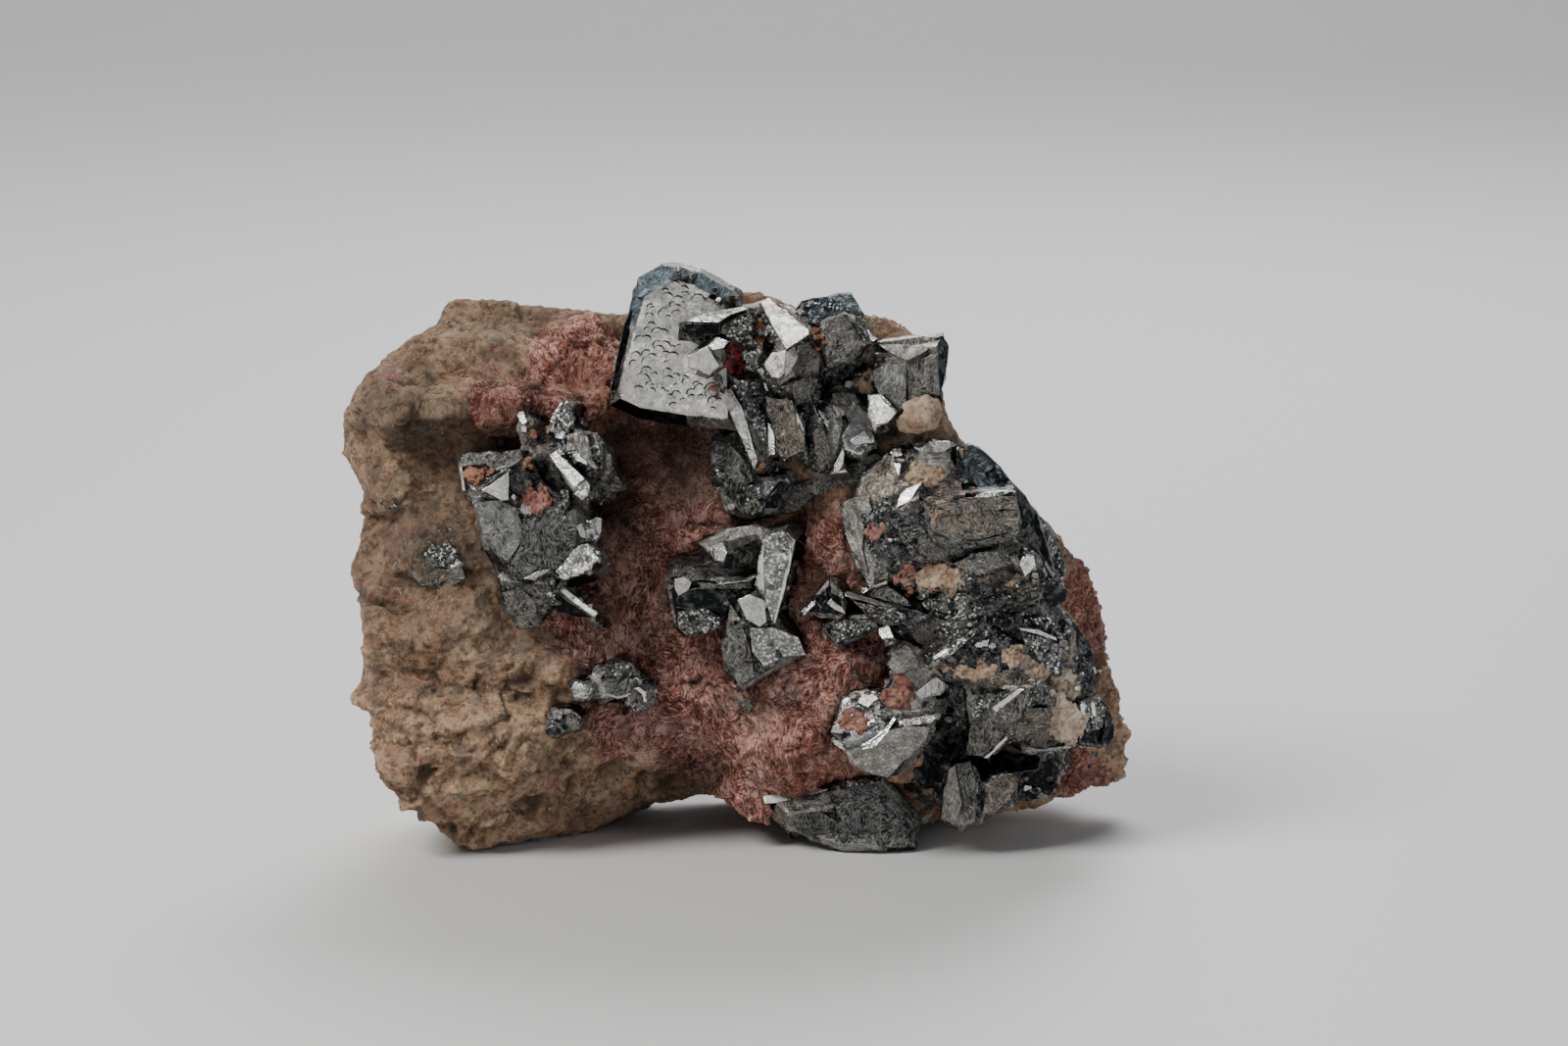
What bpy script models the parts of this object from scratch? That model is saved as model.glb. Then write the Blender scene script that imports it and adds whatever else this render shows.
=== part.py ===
"""Mineral specimen: metallic bladed and tabular crystals on a red-brown and tan rock matrix.

Lengths here are millimetres and are scaled to metres when an object is made.
The eye looks at the specimen from the front and a little above. What is seen from
there is given in the sight frame: x to the right and z up, both measured across the
line of sight, with a depth away from the eye added to reach a point of the solid.
"""
import math
from typing import NamedTuple

import bmesh
import bpy
from mathutils import Vector, noise
from mathutils.geometry import convex_hull_2d

METRE = 0.001              # one millimetre, in metres

# Sight frame
SIGHT_TILT = 11.0          # degrees that the eye looks down
EYE_DISTANCE = 600.0       # from the eye to the aim point
AIM = Vector((5.6, 10.0, 36.0))
AIM_SEEN = (5.6, 37.4)     # the aim point's place in the sight frame
SIGHT_NEAR = -50.0         # two depths that give a line of sight its direction
SIGHT_FAR = 50.0

# Where the middle of the specimen's underside stands in the sight frame
ORIGIN = Vector((0.6, 12.75, 0.0))

# Crystals
BLOCK_SIZE = 120.0         # the block that a crystal is cut from
CUT_TOLERANCE = 1e-5       # corners this near a cutting plane are on it
FLAT_ANGLE = 0.5           # degrees: faces that differ by less are one face
SMALLEST_EDGE = 0.02       # corners of a crystal nearer than this are one corner
FIT_GAP = 0.3              # clearance between a crystal group and its neighbours

# Rock
ROCK_CENTRE = (0.0, 32.2)  # the outline is star shaped about this point
ROCK_DETAIL = 5            # subdivisions of the ball that the rock is shaped from
EDGE_BAND = 11.0           # degrees of the ball, each side of its rim, that make the side walls
BACK_DEPTH = 30.0          # the broken back face
LEAST_THICKNESS = 4.0      # the back stays this far behind the near surface
FACET_SIZE = 8.0           # size of the broken facets and lumps
FACET_HEIGHT = 1.0
BACK_FACET_SIZE = 13.0     # the same on the broken back
BACK_FACET_HEIGHT = 2.4
FACET_LEAN = 2.0           # steepness of the facets
LEAN_SPREAD = 7.3          # how much the lean changes from one facet to the next
STEP_SPREAD = 3.1          # how much the height does
CALM_BAND = 20.0           # degrees of the ball by its rim where facets fade out
GRIT_SIZE = 2.6            # size of the small pits and knobs
GRIT_HEIGHT = 0.7
RELIEF_SOFTNESS = 0.5      # square millimetres: small values keep ledges crisp
ROCK_THINNING = 0.54       # share of the rock's faces that is kept
CORNER_WEAR = 0.95         # a corner of the outline keeps this share of its reach at the back
WEAR_TURNS = (-0.3, -0.15, 0.0, 0.15, 0.3)  # directions that the worn outline averages
BACK_LOSS = 0.12           # share of the radius that is broken off towards the back
LOSS_CURVE = 1.5           # how late, from front to back, the loss sets in
LOSS_SPREAD = 3.0          # how much the loss changes round the rock
SHORTEST_EDGE = 0.004      # edges left by the booleans that are shorter are closed up


class Crystal(NamedTuple):
    """One convex crystal, by its near face."""
    name: str
    outline: tuple        # corners of the near face in the sight frame
    depth: float          # depth of the face's middle
    turn: float = 0.0     # degrees that the face is turned to the right
    tilt: float = 0.0     # degrees that the face is tilted up
    thick: float = 4.0    # from the near face to the far one
    bevel: float = 0.5    # width of the slanted facets round the face


UPPER_CRYSTALS = (
    Crystal("wide plate", (
        (-11.1, 65.1), (-8.3, 66.6), (-6.4, 66.4), (-4.2, 65.7), (0.2, 63.3), (0.7, 47.7),
        (-5.6, 48.2), (-11.1, 49.1), (-14.3, 50.6), (-14.4, 52.2), (-12.6, 60.0),
    ), depth=1.0, turn=-6, tilt=4, thick=6.0, bevel=1.4),
    Crystal("shelf blade", (
        (-6.2, 60.0), (-3.6, 61.0), (1.6, 61.9), (2.0, 60.9), (1.8, 58.7), (-1.6, 58.0),
        (-4.0, 57.6), (-5.6, 58.4),
    ), depth=-2.5, turn=5, tilt=8, thick=8.0, bevel=0.4),
    Crystal("shelf blade top", (
        (-6.2, 60.0), (-3.6, 61.0), (1.6, 62.0), (1.8, 61.1), (-2.2, 60.0),
    ), depth=-1.5, turn=8, tilt=50, thick=3.0, bevel=0.1),
    Crystal("small block on the plate", (
        (-5.4, 56.4), (-3.1, 57.8), (-0.7, 57.9), (-0.7, 55.3), (-2.6, 54.0), (-5.3, 54.9),
    ), depth=-3.5, turn=-14, tilt=-4, thick=8.0, bevel=0.3),
    Crystal("small block cap", (
        (-3.6, 57.0), (-2.1, 58.7), (-0.6, 58.0), (-0.9, 56.9), (-2.2, 56.4),
    ), depth=-3.3, turn=12, tilt=38, thick=6.0, bevel=0.1),
    Crystal("leaning blade", (
        (2.7, 62.3), (3.7, 63.0), (5.8, 61.8), (8.4, 59.3), (7.6, 58.1), (6.2, 57.4), (4.9, 58.7),
        (3.6, 60.9),
    ), depth=-2.0, turn=-18, tilt=25, thick=7.0, bevel=0.15),
    Crystal("block under the blade", (
        (3.1, 55.3), (4.8, 57.6), (6.9, 58.3), (9.8, 58.1), (10.7, 56.0), (10.2, 52.7),
        (7.2, 50.4), (5.0, 51.7), (3.6, 53.6),
    ), depth=-1.5, turn=10, tilt=2, thick=9.0, bevel=1.0),
    Crystal("pale facet", (
        (3.7, 54.7), (4.7, 56.4), (5.8, 57.8), (6.9, 56.7), (6.4, 53.9), (5.0, 52.9),
    ), depth=-2.4, turn=-30, tilt=10, thick=8.0, bevel=0.2),
    Crystal("top block", (
        (9.8, 59.9), (12.4, 61.1), (14.9, 60.2), (15.4, 57.6), (13.8, 55.4), (10.6, 54.9),
        (9.4, 57.6),
    ), depth=-0.5, turn=4, tilt=0, thick=9.0, bevel=0.5),
    Crystal("top block cap", (
        (6.7, 61.3), (7.9, 62.7), (11.7, 63.6), (13.2, 63.7), (14.9, 60.7), (11.1, 59.7),
        (7.6, 60.2),
    ), depth=3.0, turn=-4, tilt=38, thick=6.0, bevel=0.4),
    Crystal("filler behind the blades", (
        (0.2, 61.3), (3.9, 62.0), (9.4, 60.2), (10.6, 52.2), (5.6, 48.9), (0.2, 51.1),
    ), depth=1.8, turn=0, tilt=4, thick=8.0, bevel=0.5),
    Crystal("right block", (
        (15.7, 56.4), (20.0, 56.0), (22.8, 57.3), (23.1, 51.8), (21.6, 51.8), (19.4, 50.3),
        (15.6, 52.9),
    ), depth=0.0, turn=-8, tilt=-4, thick=8.0, bevel=0.5),
    Crystal("right block ledge", (
        (15.4, 57.1), (16.2, 58.1), (19.6, 58.0), (21.1, 58.8), (22.9, 58.7), (23.6, 57.3),
        (22.9, 56.2), (20.0, 55.3), (16.1, 56.2),
    ), depth=2.5, turn=-2, tilt=30, thick=6.0, bevel=0.3),
    Crystal("link between the blocks", (
        (13.3, 57.6), (16.4, 58.0), (17.2, 52.0), (13.3, 50.9), (10.3, 52.0), (10.3, 55.8),
    ), depth=2.0, turn=16, tilt=-8, thick=7.0, bevel=0.5),
    Crystal("white wedge", (
        (15.0, 52.0), (16.9, 52.1), (18.6, 50.2), (17.3, 48.7), (15.9, 47.6), (14.9, 49.4),
    ), depth=-1.5, turn=-20, tilt=12, thick=7.0, bevel=0.2),
    Crystal("long side blade", (
        (-1.2, 52.4), (-0.2, 52.7), (1.1, 49.4), (2.2, 46.0), (2.3, 43.4), (0.6, 47.3),
        (-0.9, 50.7),
    ), depth=-1.5, turn=-40, tilt=10, thick=4.0, bevel=0.1),
    Crystal("striated band", (
        (0.0, 53.8), (2.9, 54.0), (4.7, 48.9), (5.2, 44.7), (2.9, 42.9), (1.2, 47.6),
    ), depth=0.0, turn=18, tilt=-4, thick=8.0, bevel=0.3),
    Crystal("hanging blade", (
        (3.9, 48.2), (4.6, 50.9), (6.2, 52.0), (8.0, 48.9), (7.3, 46.0), (5.1, 44.8),
    ), depth=-1.5, turn=-10, tilt=4, thick=8.0, bevel=0.4),
    Crystal("lower wedge", (
        (-2.6, 47.1), (0.2, 47.8), (3.1, 43.3), (4.9, 41.1), (3.8, 38.0), (1.1, 37.8),
        (-1.1, 38.4), (-2.8, 43.3),
    ), depth=2.6, turn=-8, tilt=8, thick=6.0, bevel=0.6),
    Crystal("blue wedge", (
        (3.1, 42.4), (6.2, 42.9), (6.9, 41.1), (5.0, 38.4), (3.1, 38.2),
    ), depth=1.5, turn=22, tilt=-8, thick=6.0, bevel=0.3),
    Crystal("broken shoulder", (
        (7.6, 49.6), (9.1, 51.3), (11.8, 51.8), (12.9, 48.9), (12.0, 44.4), (9.8, 42.9),
        (7.3, 44.4),
    ), depth=-0.5, turn=-8, tilt=10, thick=9.0, bevel=0.6),
    Crystal("shoulder block", (
        (11.3, 52.0), (14.4, 51.6), (16.0, 49.1), (16.4, 46.4), (14.4, 44.4), (12.0, 45.3),
        (11.3, 48.9),
    ), depth=0.0, turn=14, tilt=16, thick=9.0, bevel=0.6),
    Crystal("pale triangle", (
        (10.7, 42.9), (11.8, 45.8), (12.9, 43.1),
    ), depth=-1.0, turn=-10, tilt=24, thick=6.0, bevel=0.1),
    Crystal("thin upright", (
        (7.3, 51.8), (8.4, 52.2), (9.8, 48.7), (9.8, 44.4), (8.4, 44.2), (7.8, 47.8),
    ), depth=-1.2, turn=-28, tilt=4, thick=6.0, bevel=0.1),
)

RIGHT_CRYSTALS = (
    Crystal("shoulder rim", (
        (11.8, 39.3), (13.1, 40.2), (14.9, 37.1), (16.3, 32.2), (15.6, 29.6), (13.4, 32.2),
        (12.3, 36.0),
    ), depth=-2.0, turn=-34, tilt=10, thick=8.0, bevel=0.3),
    Crystal("shoulder crest", (
        (13.1, 39.8), (14.0, 43.1), (17.1, 45.8), (21.1, 46.7), (21.8, 43.6), (19.8, 40.2),
        (15.3, 37.6),
    ), depth=-1.5, turn=-12, tilt=26, thick=11.0, bevel=0.8),
    Crystal("shoulder crown", (
        (20.2, 46.4), (22.2, 47.2), (24.7, 46.4), (25.8, 43.6), (24.0, 40.9), (20.7, 40.4),
    ), depth=-2.0, turn=6, tilt=14, thick=11.0, bevel=0.8),
    Crystal("shoulder face", (
        (14.0, 38.0), (16.7, 40.2), (22.0, 40.9), (23.6, 36.7), (21.6, 32.2), (17.2, 29.8),
        (15.3, 32.2),
    ), depth=-4.0, turn=-8, tilt=2, thick=12.0, bevel=1.0),
    Crystal("bright chip", (
        (17.8, 39.1), (18.9, 41.3), (21.3, 42.2), (20.9, 40.2), (19.1, 38.7),
    ), depth=-4.4, turn=-24, tilt=24, thick=6.0, bevel=0.1),
    Crystal("layered slab", (
        (21.6, 40.0), (26.1, 40.9), (32.0, 40.9), (32.7, 36.7), (31.1, 34.9), (26.1, 33.6),
        (22.2, 34.4),
    ), depth=-4.5, turn=6, tilt=-4, thick=12.0, bevel=0.6),
    Crystal("slab top", (
        (22.4, 40.2), (26.1, 41.6), (31.6, 41.3), (32.0, 40.2), (26.7, 39.3),
    ), depth=-3.0, turn=4, tilt=40, thick=6.0, bevel=0.3),
    Crystal("blue topped crystal", (
        (25.3, 46.0), (26.9, 46.8), (28.9, 45.4), (30.7, 43.7), (32.9, 40.7), (31.8, 39.8),
        (27.8, 40.0), (26.0, 42.2),
    ), depth=0.0, turn=26, tilt=30, thick=10.0, bevel=0.4),
    Crystal("dark right flank", (
        (31.6, 40.2), (33.1, 40.7), (34.7, 38.4), (36.7, 36.1), (38.0, 32.4), (37.6, 29.6),
        (34.7, 30.0), (32.8, 33.9),
    ), depth=2.0, turn=44, tilt=8, thick=8.0, bevel=0.5),
    Crystal("tan crusted lump", (
        (25.8, 33.6), (29.8, 34.9), (32.9, 34.7), (35.1, 31.3), (35.3, 28.7), (31.8, 26.9),
        (28.4, 28.0), (26.4, 30.0),
    ), depth=-4.0, turn=10, tilt=-6, thick=12.0, bevel=1.2),
    Crystal("six sided facet", (
        (32.3, 33.0), (32.8, 33.8), (33.8, 33.8), (34.2, 32.9), (33.8, 32.0), (32.9, 31.3),
    ), depth=-5.2, turn=12, tilt=6, thick=6.0, bevel=0.1),
    Crystal("flank edge", (
        (34.0, 34.4), (35.3, 33.1), (38.0, 29.3), (36.9, 28.2), (34.9, 29.6), (33.8, 32.0),
    ), depth=-1.5, turn=36, tilt=-6, thick=9.0, bevel=0.3),
    Crystal("middle lump", (
        (18.2, 32.7), (22.2, 34.4), (26.2, 33.8), (27.8, 30.9), (25.6, 29.3), (21.1, 28.7),
        (18.4, 30.0),
    ), depth=-3.8, turn=-4, tilt=14, thick=12.0, bevel=0.8),
    Crystal("speckled lump", (
        (21.3, 29.3), (26.0, 30.0), (28.4, 28.7), (28.4, 25.6), (26.1, 23.8), (22.8, 23.3),
        (20.9, 25.6),
    ), depth=-3.4, turn=-10, tilt=-6, thick=12.0, bevel=0.8),
    Crystal("dark recess block", (
        (27.8, 28.9), (32.2, 27.6), (32.9, 24.4), (29.1, 24.2),
    ), depth=-0.5, turn=6, tilt=10, thick=9.0, bevel=0.4),
    Crystal("dark stack", (
        (32.0, 27.1), (34.7, 28.2), (37.1, 27.8), (38.9, 25.1), (38.4, 22.0), (34.7, 21.6),
        (32.2, 23.6),
    ), depth=-0.5, turn=16, tilt=14, thick=10.0, bevel=0.6),
    Crystal("dark stack, low", (
        (33.6, 23.1), (38.4, 22.9), (40.2, 20.2), (39.1, 17.8), (35.8, 18.0), (33.3, 20.0),
    ), depth=0.0, turn=28, tilt=-4, thick=10.0, bevel=0.6),
    Crystal("flank block", (
        (37.6, 27.6), (39.3, 26.0), (40.9, 22.0), (41.3, 18.2), (39.6, 17.6), (38.2, 22.0),
    ), depth=4.0, turn=50, tilt=10, thick=9.0, bevel=0.4),
    Crystal("crusted step", (
        (22.2, 22.4), (24.4, 24.2), (29.1, 25.6), (32.2, 23.8), (32.7, 20.7), (28.9, 18.9),
        (23.6, 19.6),
    ), depth=-4.2, turn=-4, tilt=14, thick=12.0, bevel=0.8),
    Crystal("crusted step, right", (
        (31.8, 23.6), (34.0, 22.9), (36.2, 18.9), (36.2, 16.4), (33.6, 16.2), (31.6, 18.9),
    ), depth=-3.6, turn=10, tilt=4, thick=11.0, bevel=0.6),
    Crystal("big shard", (
        (26.0, 18.9), (29.1, 17.8), (33.8, 18.9), (32.7, 15.1), (29.3, 10.7), (26.4, 12.7),
    ), depth=-3.6, turn=-22, tilt=-14, thick=10.0, bevel=0.3),
    Crystal("rimmed crystal", (
        (31.3, 16.2), (34.4, 18.2), (37.6, 17.8), (39.3, 15.3), (39.3, 12.7), (37.3, 11.0),
        (32.7, 11.1),
    ), depth=-2.6, turn=10, tilt=2, thick=12.0, bevel=0.6),
    Crystal("bright end", (
        (38.4, 17.1), (39.8, 18.0), (42.0, 17.3), (43.2, 14.7), (42.0, 11.8), (39.1, 12.2),
    ), depth=2.5, turn=34, tilt=4, thick=10.0, bevel=0.3),
    Crystal("pale grey lump", (
        (17.1, 22.9), (19.1, 24.9), (21.6, 23.6), (23.1, 20.0), (22.2, 18.4), (19.1, 18.2),
        (17.3, 20.0),
    ), depth=-2.6, turn=-8, tilt=8, thick=9.0, bevel=0.6),
    Crystal("bright fan", (
        (10.4, 13.3), (12.0, 17.8), (16.2, 18.7), (17.1, 15.8), (14.0, 13.3),
    ), depth=-3.4, turn=-22, tilt=12, thick=9.0, bevel=0.3),
    Crystal("bright fan, right", (
        (15.8, 18.2), (22.4, 18.7), (24.2, 16.2), (21.8, 14.7), (16.7, 14.7),
    ), depth=-3.8, turn=4, tilt=24, thick=10.0, bevel=0.3),
    Crystal("shell lump", (
        (11.6, 12.2), (14.4, 14.2), (18.7, 15.1), (20.0, 12.2), (17.8, 8.4), (14.4, 9.1),
    ), depth=-5.2, turn=-14, tilt=-2, thick=11.0, bevel=0.8),
    Crystal("shell lump, right", (
        (18.2, 14.7), (23.1, 15.3), (22.9, 13.1), (20.9, 10.2), (17.6, 8.2), (17.6, 12.0),
    ), depth=-4.8, turn=8, tilt=-16, thick=11.0, bevel=0.5),
    Crystal("upper core", (
        (14.9, 44.0), (24.7, 45.8), (34.4, 38.4), (37.1, 30.0), (34.4, 25.6), (18.3, 26.0),
        (14.4, 34.4),
    ), depth=-0.5, turn=2, tilt=4, thick=11.0, bevel=1.0),
    Crystal("middle core", (
        (18.0, 27.8), (34.4, 30.0), (38.4, 25.6), (40.2, 16.7), (38.4, 11.8), (28.9, 11.1),
        (21.1, 15.6), (18.0, 20.0),
    ), depth=0.0, turn=6, tilt=-4, thick=11.0, bevel=1.0),
    Crystal("dark core", (
        (16.7, 16.7), (38.3, 18.9), (39.3, 14.4), (37.6, 10.0), (32.2, 6.4), (23.9, 4.4),
        (17.8, 8.7),
    ), depth=4.0, turn=4, tilt=-4, thick=9.0, bevel=1.0),
    Crystal("left prism", (
        (23.6, 8.7), (24.9, 10.0), (26.7, 10.6), (28.0, 8.0), (27.8, 3.1), (25.1, 2.4),
        (23.1, 3.6),
    ), depth=-1.5, turn=-22, tilt=0, thick=9.0, bevel=0.5),
    Crystal("right prism", (
        (28.0, 6.4), (30.2, 9.3), (32.4, 8.0), (32.2, 5.3), (28.4, 4.0),
    ), depth=-0.8, turn=14, tilt=4, thick=9.0, bevel=0.3),
    Crystal("lower right block", (
        (31.8, 10.2), (35.6, 11.1), (37.8, 9.3), (36.4, 6.4), (32.7, 5.3),
    ), depth=2.0, turn=12, tilt=-10, thick=9.0, bevel=0.5),
)

FOOT_CRYSTALS = (
    Crystal("grey foot mass", (
        (3.1, 4.6), (3.6, 6.4), (8.9, 7.6), (12.4, 7.8), (15.6, 4.4), (16.7, 0.2), (11.8, 0.3),
        (5.6, 2.6),
    ), depth=0.8, turn=-12, tilt=14, thick=13.0, bevel=0.8),
    Crystal("foot mass, right", (
        (11.1, 7.8), (16.9, 8.9), (18.9, 6.4), (21.4, 3.8), (20.8, 0.0), (15.8, 0.0), (12.4, 3.3),
    ), depth=0.3, turn=8, tilt=8, thick=12.0, bevel=0.8),
    Crystal("foot ledge", (
        (4.4, 5.8), (9.1, 7.3), (13.1, 7.1), (11.1, 5.1), (6.2, 4.2),
    ), depth=-0.6, turn=-4, tilt=34, thick=8.0, bevel=0.4),
)

LEFT_CRYSTALS = (
    Crystal("rounded lump", (
        (-30.4, 39.3), (-27.8, 40.4), (-22.8, 40.4), (-18.7, 38.7), (-17.6, 36.1), (-18.9, 31.8),
        (-22.8, 28.7), (-26.4, 29.6), (-29.1, 33.8),
    ), depth=-5.2, turn=-12, tilt=-6, thick=12.0, bevel=2.0),
    Crystal("lower body", (
        (-27.1, 31.3), (-20.9, 31.1), (-20.2, 27.8), (-21.8, 25.6), (-24.7, 25.1), (-26.4, 27.6),
    ), depth=-3.5, turn=-4, tilt=-14, thick=8.0, bevel=0.6),
    Crystal("ledge plate", (
        (-31.6, 44.9), (-30.7, 45.4), (-27.8, 45.8), (-23.7, 45.7), (-23.1, 43.1), (-24.9, 39.3),
        (-30.0, 39.6), (-31.2, 42.2),
    ), depth=-2.6, turn=-4, tilt=16, thick=9.0, bevel=0.4),
    Crystal("pyramid", (
        (-30.2, 40.9), (-27.6, 44.2), (-25.2, 43.4), (-25.3, 39.6), (-27.2, 39.6),
    ), depth=-4.8, turn=-14, tilt=8, thick=8.0, bevel=1.0),
    Crystal("white blade", (
        (-21.2, 44.9), (-20.2, 45.7), (-16.9, 42.4), (-16.2, 40.7), (-17.4, 40.0), (-18.7, 41.2),
    ), depth=-6.0, turn=-20, tilt=14, thick=8.0, bevel=0.1),
    Crystal("streaked block", (
        (-19.6, 47.3), (-17.6, 47.8), (-15.2, 47.3), (-13.6, 44.4), (-12.1, 41.4), (-15.6, 40.2),
        (-18.2, 42.9),
    ), depth=-2.5, turn=12, tilt=6, thick=8.0, bevel=0.4),
    Crystal("second blade", (
        (-19.4, 45.4), (-17.8, 45.6), (-14.9, 46.7), (-15.1, 42.9), (-16.9, 43.4),
    ), depth=-4.0, turn=-8, tilt=14, thick=8.0, bevel=0.2),
    Crystal("speckled crystal", (
        (-20.4, 31.2), (-19.1, 33.3), (-17.8, 35.1), (-16.1, 35.3), (-14.8, 33.1), (-16.1, 31.9),
        (-19.3, 30.8),
    ), depth=-6.0, turn=-6, tilt=18, thick=8.0, bevel=0.2),
    Crystal("small stub", (
        (-18.0, 36.6), (-16.2, 38.1), (-14.8, 38.0), (-15.0, 35.6), (-17.3, 35.1),
    ), depth=-4.0, turn=12, tilt=4, thick=7.0, bevel=0.3),
    Crystal("pale edged blade", (
        (-20.9, 29.8), (-19.6, 30.4), (-15.3, 27.2), (-15.9, 26.3), (-19.6, 28.2),
    ), depth=-4.0, turn=-12, tilt=22, thick=7.0, bevel=0.1),
    Crystal("needle stack", (
        (-21.6, 47.8), (-20.4, 49.6), (-19.3, 51.4), (-18.2, 50.9), (-18.2, 47.6), (-20.4, 46.9),
    ), depth=-1.0, turn=-10, tilt=8, thick=7.0, bevel=0.2),
    Crystal("middle bridge", (
        (-23.6, 45.3), (-19.3, 47.6), (-17.6, 43.3), (-16.4, 38.9), (-17.6, 34.9), (-21.1, 34.4),
        (-24.4, 39.4),
    ), depth=-2.0, turn=0, tilt=4, thick=8.0, bevel=0.6),
    Crystal("upper chips", (
        (-24.9, 48.7), (-24.0, 50.2), (-22.7, 48.9), (-22.7, 45.3), (-24.0, 44.9),
    ), depth=-0.5, turn=-14, tilt=10, thick=7.0, bevel=0.2),
)

CENTRE_CRYSTALS = (
    Crystal("main blade", (
        (3.2, 36.0), (5.6, 36.6), (7.0, 35.6), (6.4, 33.6), (5.7, 29.8), (4.6, 25.8), (2.6, 25.6),
        (1.9, 29.4), (2.6, 33.3),
    ), depth=-2.5, turn=-10, tilt=2, thick=7.0, bevel=0.15),
    Crystal("lower body", (
        (0.3, 28.9), (2.4, 29.8), (4.6, 25.9), (8.0, 22.4), (4.6, 21.6), (2.6, 20.9), (1.0, 18.3),
        (0.0, 18.9), (-1.3, 20.4), (-1.6, 23.3),
    ), depth=-2.8, turn=-6, tilt=-4, thick=8.0, bevel=0.6),
    Crystal("left arm", (
        (-7.6, 30.0), (-6.7, 31.4), (-4.3, 31.1), (2.2, 31.1), (1.8, 29.3), (-1.3, 26.2),
        (-5.6, 24.3), (-6.9, 25.4),
    ), depth=-2.5, turn=2, tilt=-8, thick=8.0, bevel=0.4),
    Crystal("six sided end", (
        (-2.8, 34.1), (-2.3, 35.3), (-1.3, 35.3), (-0.7, 34.1), (-1.1, 32.9), (-2.3, 33.0),
    ), depth=-4.0, turn=-40, tilt=8, thick=7.0, bevel=0.1),
    Crystal("upper rim", (
        (-4.1, 35.2), (-1.1, 37.0), (1.8, 37.4), (5.8, 36.7), (7.1, 35.4), (3.3, 34.8),
        (-0.6, 35.2), (-2.9, 34.0),
    ), depth=0.0, turn=0, tilt=30, thick=6.0, bevel=0.3),
    Crystal("hollow floor", (
        (-3.6, 34.9), (2.2, 35.8), (3.9, 30.0), (1.1, 28.7), (-3.3, 30.7),
    ), depth=1.0, turn=0, tilt=0, thick=5.0, bevel=0.5),
    Crystal("arm top", (
        (-7.9, 31.4), (-6.7, 32.9), (-3.8, 32.3), (-2.2, 30.9), (-4.2, 29.8), (-7.1, 29.8),
    ), depth=-0.5, turn=-4, tilt=24, thick=6.0, bevel=0.3),
)

BLADE_CRYSTALS = (
    Crystal("bright edged blade", (
        (12.3, 29.6), (16.1, 28.7), (21.1, 27.3), (24.1, 26.2), (20.0, 25.2), (15.0, 27.3),
    ), depth=-4.8, turn=6, tilt=14, thick=7.0, bevel=0.2),
    Crystal("wedge", (
        (14.1, 29.6), (17.2, 31.1), (18.2, 30.0), (20.0, 28.1), (16.7, 28.0),
    ), depth=-4.0, turn=-6, tilt=20, thick=7.0, bevel=0.3),
    Crystal("dark plate", (
        (9.7, 25.3), (11.1, 26.8), (15.9, 27.0), (17.2, 25.3), (11.7, 23.1),
    ), depth=-2.8, turn=-4, tilt=-4, thick=6.0, bevel=0.4),
    Crystal("vee crystal", (
        (7.2, 27.0), (8.9, 28.8), (10.7, 31.2), (11.6, 30.9), (12.7, 28.3), (12.2, 26.4),
    ), depth=-3.0, turn=-12, tilt=12, thick=7.0, bevel=0.5),
)

SMALL_CUBE = (
    Crystal("white cube", (
        (16.1, 25.3), (17.6, 25.8), (18.4, 24.1), (17.0, 23.3),
    ), depth=-4.5, turn=-18, tilt=12, thick=5.0, bevel=0.2),
)

SMALL_ROSETTE = (
    Crystal("ring crystal", (
        (-19.0, 18.8), (-18.1, 19.7), (-16.6, 19.6), (-15.8, 18.4), (-16.6, 17.2), (-18.2, 17.2),
    ), depth=-3.5, turn=-6, tilt=10, thick=6.0, bevel=0.3),
    Crystal("upper plates", (
        (-16.9, 19.8), (-15.8, 21.3), (-13.3, 22.0), (-12.2, 20.0), (-13.1, 17.8), (-15.1, 17.3),
        (-16.4, 17.8),
    ), depth=-2.5, turn=-6, tilt=14, thick=6.0, bevel=0.4),
    Crystal("middle plates", (
        (-13.8, 21.6), (-11.6, 21.8), (-10.4, 20.2), (-11.3, 17.6), (-13.6, 17.6),
    ), depth=-2.4, turn=10, tilt=4, thick=6.0, bevel=0.3),
    Crystal("right stack", (
        (-12.2, 19.3), (-10.6, 20.3), (-8.8, 19.2), (-8.6, 17.1), (-10.4, 15.7), (-12.4, 16.7),
    ), depth=-2.7, turn=12, tilt=4, thick=6.0, bevel=0.4),
)

SMALL_STUB = (
    Crystal("round stub", (
        (-21.7, 14.2), (-20.9, 16.4), (-18.9, 16.3), (-17.2, 15.2), (-17.6, 13.8), (-19.8, 13.0),
    ), depth=-4.0, turn=-4, tilt=4, thick=6.0, bevel=0.6),
    Crystal("stub end", (
        (-21.6, 13.8), (-20.9, 14.6), (-19.6, 14.4), (-19.1, 13.6), (-20.0, 12.9), (-21.1, 13.0),
    ), depth=-4.8, turn=0, tilt=0, thick=5.0, bevel=0.4),
)

TAN_NODULE = (
    Crystal("nodule", (
        (17.9, 49.1), (18.7, 50.4), (20.2, 51.4), (22.0, 51.8), (23.3, 51.0), (23.8, 49.4),
        (23.1, 47.8), (21.1, 47.1), (18.9, 47.6),
    ), depth=-2.6, turn=4, tilt=4, thick=5.0, bevel=1.4),
)

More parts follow.
